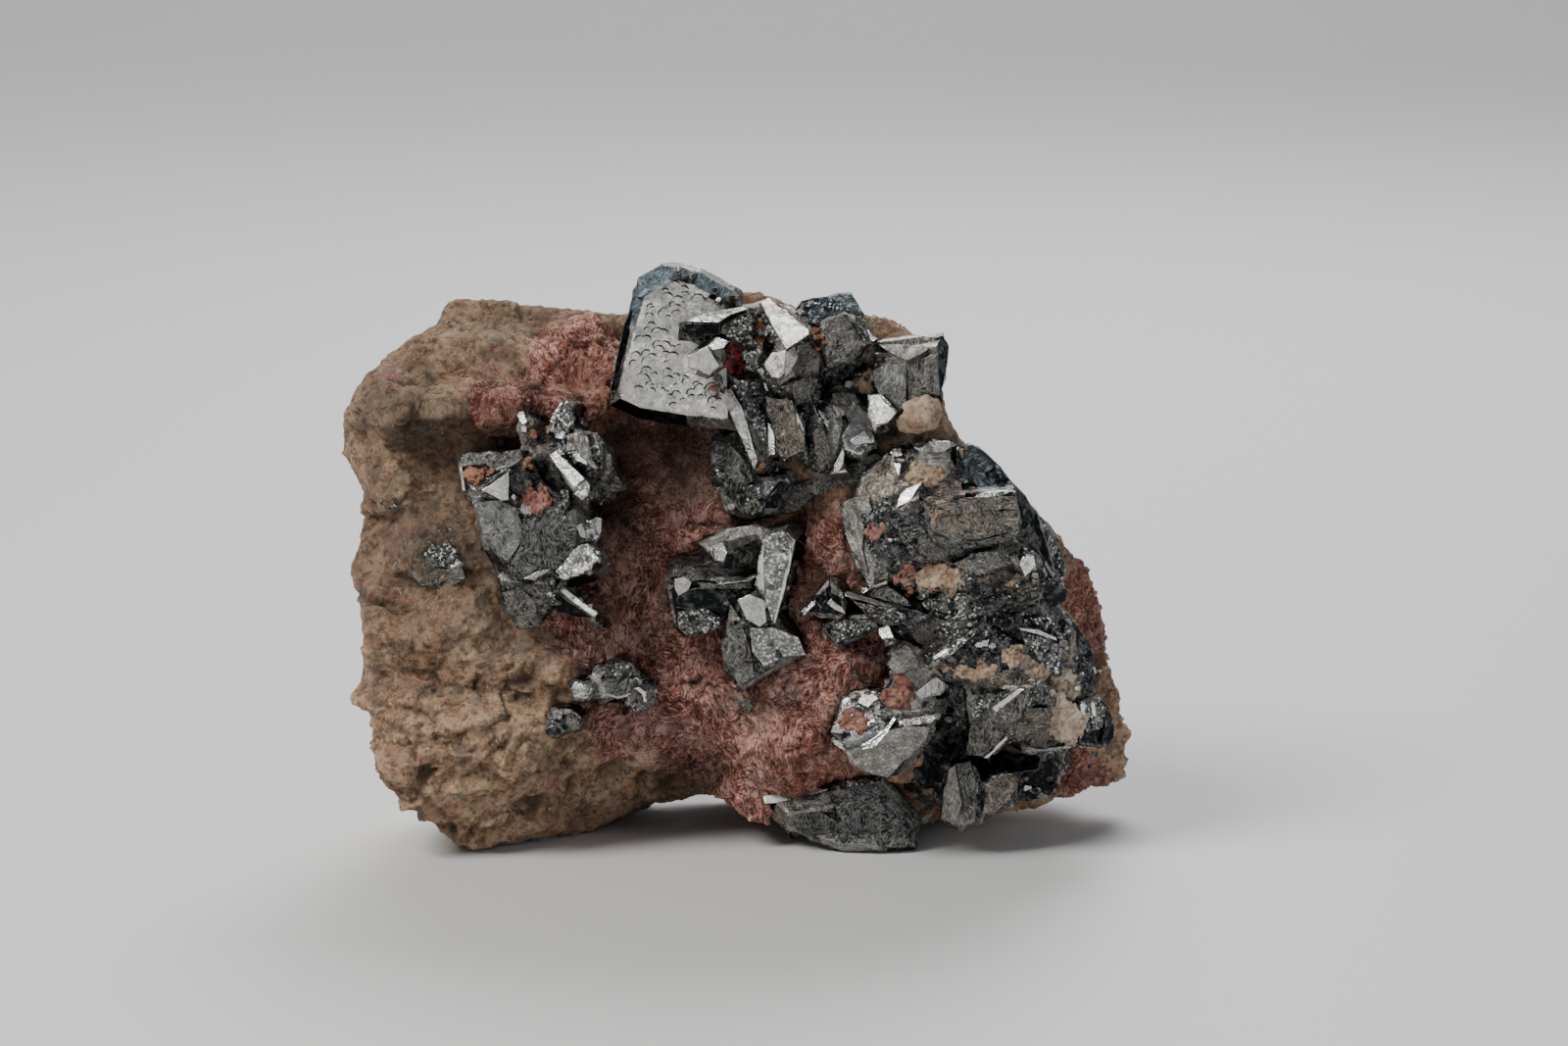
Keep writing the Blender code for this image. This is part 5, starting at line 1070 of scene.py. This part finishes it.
def line_gap(u, v, line, reach):
    """How far a pixel lies below a line of pixels, or None beyond its reach."""
    if not min(line[0::2]) - reach < u < max(line[0::2]) + reach:
        return None
    if not min(line[1::2]) - reach < v < max(line[1::2]) + reach:
        return None
    best = None
    for start in range(0, len(line) - 2, 2):
        from_u, from_v, to_u, to_v = line[start:start + 4]
        run_u, run_v = to_u - from_u, to_v - from_v
        share = ((u - from_u) * run_u + (v - from_v) * run_v) / (run_u ** 2 + run_v ** 2)
        share = max(0.0, min(1.0, share))
        gap_u = u - from_u - share * run_u
        gap_v = v - from_v - share * run_v
        gap = math.copysign(math.hypot(gap_u, gap_v), gap_v)
        if abs(gap) < reach and (best is None or abs(gap) < abs(best)):
            best = gap
    return best


def ledges_and_cracks(u, v):
    """Height in mm that the ledges and cracks add at a pixel, and the painted shade that they put
    under the ledges and in the cracks.
    """
    height = 0.0
    dark = 0.0
    for size, line in LEDGES:
        gap = line_gap(u, v, line, LEDGE_REACH)
        if gap is not None:
            fade = math.exp(-abs(gap) / LEDGE_FADE)
            height -= size * math.tanh(gap / LEDGE_LIP) * fade
            dark += LEDGE_SHADE * fade if gap > 0.0 else 0.0
    for line in CRACKS:
        gap = line_gap(u, v, line, CRACK_REACH)
        if gap is not None:
            cut = math.exp(-(gap / CRACK_WIDTH) ** 2)
            height -= CRACK_DEPTH * cut
            dark += CRACK_SHADE * cut
    return height, dark


def dressed_rock(look):
    """The rock's mesh with broken, fibrous and pitted relief, and its areas."""
    bm = remeshed(merged_copy("rock_matrix"), look.voxel)
    bm.normal_update()
    near = [face for face in bm.faces if face.normal.dot(FORWARD) < 0.0]
    edges = {edge for face in near for edge in face.edges}
    bmesh.ops.subdivide_edges(bm, edges=list(edges), cuts=1, use_grid_fill=True)
    bm.normal_update()
    layers = {key: bm.verts.layers.float.new(key) for key in ROCK_VALUES}
    moves = []
    for vert in bm.verts:
        place = vert.co / MM
        u, v = pixel_of(vert.co)
        wander_u = u + AREA_WANDER * noise.noise(place / 4.0)
        wander_v = v + AREA_WANDER * noise.noise(place / 4.0 + Vector((9.0, 3.0, 1.0)))
        hidden = smooth_step(*SEEN_DEPTH, place.y)
        red = area_weight(wander_u, wander_v, RED_AREAS)
        red = red * (1.0 - hidden) + hidden * (0.5 + noise.noise(place / 14.0))
        vert[layers["red"]] = red
        vert[layers["bright"]] = area_weight(wander_u, wander_v, BRIGHT_AREAS)
        vert[layers["stain"]] = area_weight(wander_u, wander_v, STAIN_AREAS)
        bend = LINE_WANDER * noise.noise(place / 1.3)
        step, dark = (0.0, 0.0) if hidden else ledges_and_cracks(u + bend, v + bend)
        # Painted shade of the listed areas, under the ledges and in the cracks
        vert[layers["hollow"]] = min(0.85, 0.8 * area_weight(u, v, PAINTED_SHADE_AREAS) + 0.7 * dark)
        crag = smooth_step(*CRAG_ROWS, wander_v)
        red_share = smooth_step(0.25, 0.65, red)
        tan_share = 1.0 - red_share
        high = (tan_share * broken_rock(place, crag) * look.lump_height
                + red_share * fibrous_rock(place) * look.fibre_height)
        # This value also sets painted light and shade: paler on raised relief and on the craggy tan
        # rock, darker in low relief
        vert[layers["height"]] = 0.5 + 0.9 * high / MM + 0.22 * crag * tan_share
        high += (step - 0.25 * crag * tan_share) * MM
        moves.append((vert, vert.normal * (high + look.overlap)))
    for vert, move in moves:
        vert.co += move * smooth_step(0.0, 0.8 * MM, vert.co.z)
        vert.co.z = max(vert.co.z, 0.0)
    return bm


# A crystal group's mesh, its layer of facet numbers, the facets' centres, the facet of each
# triangle and the tree of the triangles
Surface = namedtuple("Surface", "bm number centres facets tree")


def facet_surface(node):
    """A crystal group cut into its flat faces, with what is needed to find them."""
    bm = merged_copy(node)
    bmesh.ops.dissolve_limit(bm, angle_limit=math.radians(1.0), verts=bm.verts[:],
                             edges=bm.edges[:])
    number = bm.faces.layers.int.new("facet")
    centres = []
    for face in bm.faces:
        face[number] = len(centres)
        centres.append(face.calc_center_median() / MM)
    bmesh.ops.triangulate(bm, faces=bm.faces[:])
    facets = [face[number] for face in bm.faces]
    return Surface(bm, number, centres, facets, BVHTree.FromBMesh(bm))


def base_trees():
    """What the lines of sight can meet: the rock and the crystal groups."""
    trees = []
    for node in ("rock_matrix", *CRYSTAL_NODES):
        bm = merged_copy(node)
        trees.append(BVHTree.FromBMesh(bm))
        bm.free()
    return trees


def nearest_hit(trees, u, v):
    """What a line of sight meets first: place, outward normal, tree number and face."""
    ray = sight_ray(u, v)
    best = None
    for number, tree in enumerate(trees):
        place, normal, face, reach = tree.ray_cast(EYE, ray)
        if place is not None and (best is None or reach < best[0]):
            best = (reach, place, normal, number, face)
    return best and best[1:]


def seen_plane(trees, corners):
    """Distance ahead of the eye of the plane that fits what lies behind some pixels."""
    middle_u, middle_v = (sum(parts) / len(corners) for parts in zip(*corners))
    rows = []
    depths = []
    for share in PLANE_SAMPLES:
        for u, v in corners:
            off_u = (u - middle_u) * share
            off_v = (v - middle_v) * share
            found = nearest_hit(trees, middle_u + off_u, middle_v + off_v)
            if found:
                rows.append((1.0, off_u, off_v))
                depths.append((found[0] - EYE).dot(FORWARD))
    if not rows:
        raise ValueError(f"nothing lies behind the crystal at {middle_u}, {middle_v}")
    level = float(numpy.median(depths))
    near = [index for index, depth in enumerate(depths)
            if abs(depth - level) < PLANE_REACH * MM]
    fit = numpy.linalg.lstsq(numpy.array([rows[index] for index in near]),
                             numpy.array([depths[index] for index in near]), rcond=None)[0]
    steepest = STEEPEST_PLANE / PIXELS_PER_METRE
    slope_u, slope_v = (max(-steepest, min(steepest, float(slope))) for slope in fit[1:])
    return lambda u, v: level + slope_u * (u - middle_u) + slope_v * (v - middle_v)


def set_look(faces, layers, look):
    """Give faces the values of a look."""
    for face in faces:
        for layer, value in zip(layers, LOOKS[look]):
            face[layer] = value


def add_shard(bm, layers, trees, look, lift, outline):
    """A crystal whose front face has the given corners, with its back in what is behind."""
    corners = list(zip(outline[0::2], outline[1::2]))
    depth_at = seen_plane(trees, corners)
    verts = []
    for u, v in corners:
        ray = sight_ray(u, v)
        reach = (depth_at(u, v) - lift * MM) / ray.dot(FORWARD)
        verts.append(bm.verts.new(EYE + ray * reach))
    front = bm.faces.new(verts)
    rim = list(front.edges)
    middle = sum((vert.co for vert in verts), Vector()) / len(verts)
    grown = bmesh.ops.extrude_face_region(bm, geom=[front], use_keep_orig=True)["geom"]
    back = verts_of(grown)
    bmesh.ops.scale(bm, verts=back, vec=Vector((1.0, 1.0, 1.0)) * SHARD_TAPER,
                    space=Matrix.Translation(-middle))
    bmesh.ops.translate(bm, verts=back, vec=FORWARD * (lift + SHARD_ROOT) * MM)
    faces = list(dict.fromkeys(face for vert in verts + back for face in vert.link_faces))
    bmesh.ops.recalc_face_normals(bm, faces=faces)
    set_look(faces, layers, "dark")
    set_look([front], layers, look)
    bevelled = bmesh.ops.bevel(bm, geom=rim, offset=SHARD_BEVEL * MM, segments=1,
                               profile=0.5, affect="EDGES", clamp_overlap=True, material=-1)
    set_look(bevelled["faces"], layers, "mirror" if look in BRIGHT_LOOKS else "grey")


def broken_chips(trees):
    """Small broken crystals in the zones between the larger ones."""
    bm = bmesh.new()
    layers = look_layers(bm)
    draw = random.Random(23)
    for middle_u, middle_v, half_width, half_height, count in CHIP_ZONES:
        for _ in range(count):
            angle = draw.uniform(0.0, math.tau)
            reach = math.sqrt(draw.random())
            u = middle_u + half_width * reach * math.cos(angle)
            v = middle_v + half_height * reach * math.sin(angle)
            size = draw.uniform(*CHIP_SIZE)
            slant = draw.uniform(0.0, math.tau)
            sides = draw.choice(CHIP_SIDES)
            outline = []
            for side in range(sides):
                turn = slant + math.tau * (side + draw.uniform(-0.25, 0.25)) / sides
                outline += [u + CHIP_WIDTH * size * math.cos(turn), v + size * math.sin(turn)]
            look = draw.choice(CHIP_LOOKS)
            lift = draw.uniform(*CHIP_LIFT)
            if nearest_hit(trees, u, v):
                add_shard(bm, layers, trees, look, lift, outline)
    roughen(bm, layers)
    return bm


def add_mark(bm, layers, place, normal, radius, turn, sweep):
    """A low scale on a crystal face with an arched step along its upper edge, painted black as its
    shadow.
    """
    across = normal.cross(UPWARD).normalized()
    rise = across.cross(normal).normalized()

    def arch(share, reach, height):
        angle = turn + sweep * (share - 0.5)
        return bm.verts.new(place - across * math.sin(angle) * reach
                            + rise * math.cos(angle) * reach + normal * height * MM)

    shares = [step / (MARK_STEPS - 1) for step in range(MARK_STEPS)]
    inner = [arch(share, radius, MARK_HEIGHT) for share in shares]
    outer = [arch(share, radius + MARK_WIDTH * MM * math.sin(math.pi * (0.15 + 0.7 * share)),
                  -MARK_SINK) for share in shares]
    heart = bm.verts.new(place - (rise * MARK_HEIGHT + normal * MARK_SINK) * MM)
    root = bm.verts.new(place - normal * MARK_ROOT * MM)
    pale = []
    dark = []
    for step in range(MARK_STEPS - 1):
        after = step + 1
        pale.append(bm.faces.new((heart, inner[step], inner[after])))
        dark.append(bm.faces.new((inner[step], outer[step], outer[after], inner[after])))
        dark.append(bm.faces.new((outer[step], root, outer[after])))
    pale.append(bm.faces.new((heart, root, outer[0], inner[0])))
    pale.append(bm.faces.new((heart, inner[-1], outer[-1], root)))
    bmesh.ops.recalc_face_normals(bm, faces=pale + dark)
    set_look(pale, layers, "silver")
    # Painted shadow: the arched step is coloured black
    set_look(dark, layers, "black_painted_shade")


def growth_marks(trees):
    """Arched growth marks in uneven rows on the wide plate."""
    bm = bmesh.new()
    layers = look_layers(bm)
    draw = random.Random(11)
    centre, facing = nearest_hit(trees, *PLATE_MIDDLE)[:2]

    def on_plate(u, v):
        hit = nearest_hit(trees, u, v)
        flat = hit and abs((hit[0] - centre).dot(facing)) <= PLATE_FLATNESS * MM
        return hit if flat else None

    for row in range(MARK_ROWS):
        for column in range(MARK_COLUMNS):
            u = MARKS_FROM[0] + (column + (row % 2) / 2) * MARK_STEP[0]
            u += draw.uniform(-MARK_JITTER[0], MARK_JITTER[0])
            v = MARKS_FROM[1] + row * MARK_STEP[1]
            v += draw.uniform(-MARK_JITTER[1], MARK_JITTER[1])
            radius = draw.uniform(*MARK_RADIUS) * MM
            turn = draw.uniform(*MARK_TURN)
            sweep = draw.uniform(*MARK_SWEEP)
            kept = draw.random() < MARK_SHARE
            found = on_plate(u, v)
            if not found or not kept or found[1].dot(facing) < 0.999:
                continue
            reach = (radius + MARK_EDGE * MM) * PIXELS_PER_METRE
            if all(on_plate(u + reach * math.cos(angle), v + reach * math.sin(angle))
                   for angle in MARK_EDGE_ANGLES):
                add_mark(bm, layers, found[0], found[1], radius, turn, sweep)
    return bm


def grain_bodies(trees, kind):
    """Lumps of one kind that hug the surface behind them, grown into one another."""
    bm = bmesh.new()
    draw = random.Random(5)
    for name, u, v, half_width, half_height in GRAINS:
        for _ in range(max(FEWEST_LUMPS, int(half_width * half_height / LUMP_AREA))):
            angle = draw.uniform(0.0, math.tau)
            reach = math.sqrt(draw.random()) * 0.9
            share = draw.uniform(*LUMP_SIZE)
            if name != kind:
                continue
            found = nearest_hit(trees, u + half_width * reach * math.cos(angle),
                                v + half_height * reach * math.sin(angle))
            if not found:
                continue
            size = min(half_width, half_height) * share / PIXELS_PER_METRE
            size = max(LEAST_LUMP * MM, size)
            rise = GRAIN_RISE.get(kind, 0.0) * MM / 2
            shape = Matrix.Diagonal((draw.uniform(*LUMP_WIDTH), LUMP_DEPTH + rise / size,
                                     draw.uniform(*LUMP_TALLNESS), 1.0))
            bmesh.ops.create_icosphere(
                bm, subdivisions=1, radius=size,
                matrix=Matrix.Translation(found[0] - FORWARD * rise) @ shape)
    bm = remeshed(bm, GRAIN_VOXEL * MM)
    bm.normal_update()
    for vert in bm.verts:
        place = vert.co / MM
        grain = breaks(place, GRAIN_BREAKS) + 0.5 * noise.noise(place / 0.3)
        vert.co += vert.normal * grain * GRAIN_RELIEF * MM
    return bm


def common_look(centre):
    """The look of a face that isn't listed, by its place."""
    value = noise.noise(centre / 1.7) + noise.noise(centre / 0.9 + Vector((3.0, 8.0, 2.0)))
    return next(look for limit, look in COMMON_LOOKS if value < limit)


def look_layers(bm):
    """The mesh's own face values, one for each part of a look."""
    for key in LOOK_VALUES:
        bm.faces.layers.float.new(key)
    return [bm.faces.layers.float[key] for key in LOOK_VALUES]


def roughen(bm, layers, breakage=1.0):
    """Break up the faces whose look calls for relief, and keep them above the floor."""
    bm.normal_update()
    moves = []
    for vert in bm.verts:
        depth = sum(face[layers[RELIEF]] for face in vert.link_faces) / len(vert.link_faces)
        if depth < LEAST_RELIEF:
            continue
        place = vert.co / MM
        high = 1.1 * strands(place, 4.0, 0.7) + breaks(place, CRYSTAL_BREAKS)
        moves.append((vert, vert.normal * high * depth * breakage * MM))
    for vert, move in moves:
        vert.co += move
    for vert in bm.verts:
        vert.co.z = max(vert.co.z, 0.0)


def dressed_crystals(node, surface, looks, step):
    """Give each face its values, divide the mesh and roughen it."""
    if node in FUSED:
        voxel, groove = FUSED[node]
        bm = fused(merged_copy(node), voxel * MM, groove * MM)
        found = [surface.facets[surface.tree.find_nearest(face.calc_center_median())[2]]
                 for face in bm.faces]
    else:
        bm = surface.bm
        refine(bm, step)
        found = [face[surface.number] for face in bm.faces]
    layers = look_layers(bm)
    for face, facet in zip(bm.faces, found):
        look = looks[facet]
        set_look([face], layers, look)
        change = 0.0
        if LOOKS[look][RELIEF] > BROKEN_RELIEF:
            cell = noise.voronoi(face.calc_center_median() / MM / 2.6)[1][0]
            change = 0.4 * noise.noise(cell * 4.7)
        face[layers[TONE]] = max(0.0, face[layers[TONE]] + change * 0.5)
        face[layers[GLOSS]] = max(0.0, min(1.0, face[layers[GLOSS]] + change))
    roughen(bm, layers, FUSED_BREAKAGE if node in FUSED else 1.0)
    return bm


def make_light(name, place, size, power, colour):
    """A square lamp that faces the specimen."""
    light = bpy.data.lights.new(name, "AREA")
    light.shape = "SQUARE"
    light.size = size
    light.energy = power
    light.color = colour
    lamp = bpy.data.objects.new(name, light)
    lamp.location = place
    lamp.rotation_euler = (AIM - Vector(place)).to_track_quat("-Z", "Y").to_euler()
    bpy.context.scene.collection.objects.link(lamp)


def make_floor(look):
    """A pale floor that sweeps up behind the specimen."""
    bm = bmesh.new()
    ends = [bm.verts.new((side * FLOOR_HALF_WIDTH, FLOOR_FRONT, 0.0)) for side in (-1, 1)]
    moved = bmesh.ops.extrude_edge_only(bm, edges=[bm.edges.new(ends)])["geom"]
    verts = verts_of(moved)
    bmesh.ops.translate(bm, verts=verts, vec=(0.0, FLOOR_BEND - FLOOR_FRONT, 0.0))
    last = [edge for edge in edges_of(moved) if all(vert in verts for vert in edge.verts)]
    spun = bmesh.ops.spin(bm, geom=last + verts, cent=(0.0, FLOOR_BEND, BEND_RADIUS),
                          axis=(1.0, 0.0, 0.0), angle=math.radians(90.0), steps=BEND_STEPS)
    moved = bmesh.ops.extrude_edge_only(bm, edges=edges_of(spun["geom_last"]))["geom"]
    bmesh.ops.translate(bm, verts=verts_of(moved), vec=(0.0, 0.0, BACKDROP_HEIGHT))
    bmesh.ops.recalc_face_normals(bm, faces=bm.faces[:])
    mesh = bpy.data.meshes.new("floor")
    bm.to_mesh(mesh)
    bm.free()
    mesh.shade_smooth()
    material, _, shader, _ = new_material("floor")
    shader.inputs["Base Color"].default_value = rgba(look.floor)
    shader.inputs["Roughness"].default_value = FLOOR_ROUGHNESS
    mesh.materials.append(material)
    floor = bpy.data.objects.new("floor", mesh)
    bpy.context.scene.collection.objects.link(floor)


class SPECIMEN_OT_rock(bpy.types.Operator):
    """Make the rock matrix"""
    bl_idname = "specimen.rock"
    bl_label = "Rock matrix"

    def execute(self, context):
        look = context.scene.specimen_rock
        make_piece("rock", dressed_rock(look), rock_material(look), ROCK_EDGE,
                   ["rock_matrix"])
        return {"FINISHED"}


class SPECIMEN_OT_crystals(bpy.types.Operator):
    """Make the groups of metallic crystals"""
    bl_idname = "specimen.crystals"
    bl_label = "Crystals"

    def execute(self, context):
        look = context.scene.specimen_crystals
        surfaces = [facet_surface(node) for node in CRYSTAL_NODES]
        trees = [surface.tree for surface in surfaces]
        listed = {}
        for u, v, kind in FACES:
            found = nearest_hit(trees, u, v)
            if found:
                group, face = found[2:]
                listed[group, surfaces[group].facets[face]] = kind
        material = crystal_material(look)
        for group, (node, surface) in enumerate(zip(CRYSTAL_NODES, surfaces)):
            looks = [listed.get((group, facet)) or common_look(centre)
                     for facet, centre in enumerate(surface.centres)]
            dressed = dressed_crystals(node, surface, looks, look.mesh_step)
            make_piece(node.replace("_crystals", "") + "_group", dressed, material,
                       GROUP_EDGE, [node])
        return {"FINISHED"}


class SPECIMEN_OT_shards(bpy.types.Operator):
    """Make the smaller crystals, the chips and the growth marks"""
    bl_idname = "specimen.shards"
    bl_label = "Small crystals"

    def execute(self, context):
        trees = base_trees()
        material = crystal_material(context.scene.specimen_crystals)
        bm = bmesh.new()
        layers = look_layers(bm)
        for kind, lift, outline in SHARDS:
            add_shard(bm, layers, trees, kind, lift, outline)
        refine(bm, SHARD_STEP * MM)
        roughen(bm, layers)
        for name, made, edge in (
                ("small_crystals", bm, SHARD_EDGE),
                ("crystal_chips", broken_chips(trees), SHARD_EDGE),
                ("growth_marks", growth_marks(trees), MARK_SHARP_EDGE)):
            make_piece(name, made, material, edge)
        return {"FINISHED"}


class SPECIMEN_OT_grains(bpy.types.Operator):
    """Make the crusts and grains between the crystals"""
    bl_idname = "specimen.grains"
    bl_label = "Crusts and grains"

    def execute(self, context):
        trees = base_trees()
        for kind, (*colours, slot) in GRAIN_COLOURS.items():
            roughness = GRAIN_ROUGHNESS.get(kind, CRUST_ROUGHNESS)
            material = crust_material(kind + "_grains", *colours, roughness)
            make_piece(kind + "_grains", grain_bodies(trees, kind), material,
                       GRAIN_EDGE)
        return {"FINISHED"}


class SPECIMEN_OT_nodule(bpy.types.Operator):
    """Make the tan nodule"""
    bl_idname = "specimen.nodule"
    bl_label = "Tan nodule"

    def execute(self, context):
        bm = remeshed(merged_copy("tan_nodule"), NODULE_VOXEL * MM)
        bmesh.ops.smooth_vert(bm, verts=bm.verts[:], factor=0.5, use_axis_x=True,
                              use_axis_y=True, use_axis_z=True)
        bm.normal_update()
        for vert in bm.verts:
            relief = NODULE_RELIEF * MM * breaks(vert.co / MM, NODULE_BREAKS)
            vert.co += vert.normal * relief
        material = crust_material("tan_nodule_crust", *NODULE_COLOURS)
        make_piece("nodule", bm, material, ROCK_EDGE, ["tan_nodule"])
        return {"FINISHED"}


class SPECIMEN_OT_stage(bpy.types.Operator):
    """Make the floor, the lights and the camera"""
    bl_idname = "specimen.stage"
    bl_label = "Stage"

    def execute(self, context):
        look = context.scene.specimen_stage
        make_floor(look)
        for name, (place, size, share, colour) in LIGHTS.items():
            make_light(name, place, size, share * look.key_power, colour)
        world = bpy.data.worlds.new("studio")
        world.use_nodes = True
        sky = world.node_tree.nodes["Background"]
        sky.inputs["Color"].default_value = rgba(SKY)
        sky.inputs["Strength"].default_value = look.world_strength
        context.scene.world = world
        camera = bpy.data.cameras.new("view")
        camera.sensor_width = SENSOR_WIDTH
        camera.lens = SENSOR_WIDTH * EYE_DISTANCE * PIXELS_PER_METRE / VIEW_WIDTH
        camera.clip_start = 0.01
        eye = bpy.data.objects.new("view", camera)
        eye.location = EYE
        eye.rotation_euler = FORWARD.to_track_quat("-Z", "Y").to_euler()
        context.scene.collection.objects.link(eye)
        context.scene.camera = eye
        return {"FINISHED"}


class SPECIMEN_PT_panel(bpy.types.Panel):
    """The specimen's tools"""
    bl_label = "Specimen"
    bl_idname = "SPECIMEN_PT_panel"
    bl_space_type = "VIEW_3D"
    bl_region_type = "UI"
    bl_category = "Specimen"

    def draw(self, context):
        for operator in OPERATORS:
            self.layout.operator(operator.bl_idname)


OPERATORS = (
    SPECIMEN_OT_rock, SPECIMEN_OT_crystals, SPECIMEN_OT_shards, SPECIMEN_OT_grains,
    SPECIMEN_OT_nodule, SPECIMEN_OT_stage,
)
SETTINGS = {
    "specimen_rock": RockSettings,
    "specimen_crystals": CrystalSettings,
    "specimen_stage": StageSettings,
}


def register():
    for made in (*SETTINGS.values(), *OPERATORS, SPECIMEN_PT_panel):
        bpy.utils.register_class(made)
    for name, group in SETTINGS.items():
        setattr(bpy.types.Scene, name, PointerProperty(type=group))


def unregister():
    for name in SETTINGS:
        delattr(bpy.types.Scene, name)
    for made in (SPECIMEN_PT_panel, *reversed(OPERATORS), *reversed(SETTINGS.values())):
        bpy.utils.unregister_class(made)


def main():
    register()
    bpy.ops.specimen.rock()
    bpy.ops.specimen.crystals()
    bpy.ops.specimen.shards()
    bpy.ops.specimen.grains()
    bpy.ops.specimen.nodule()
    bpy.ops.specimen.stage()
    bpy.context.view_layer.update()


if __name__ == "__main__":
    main()
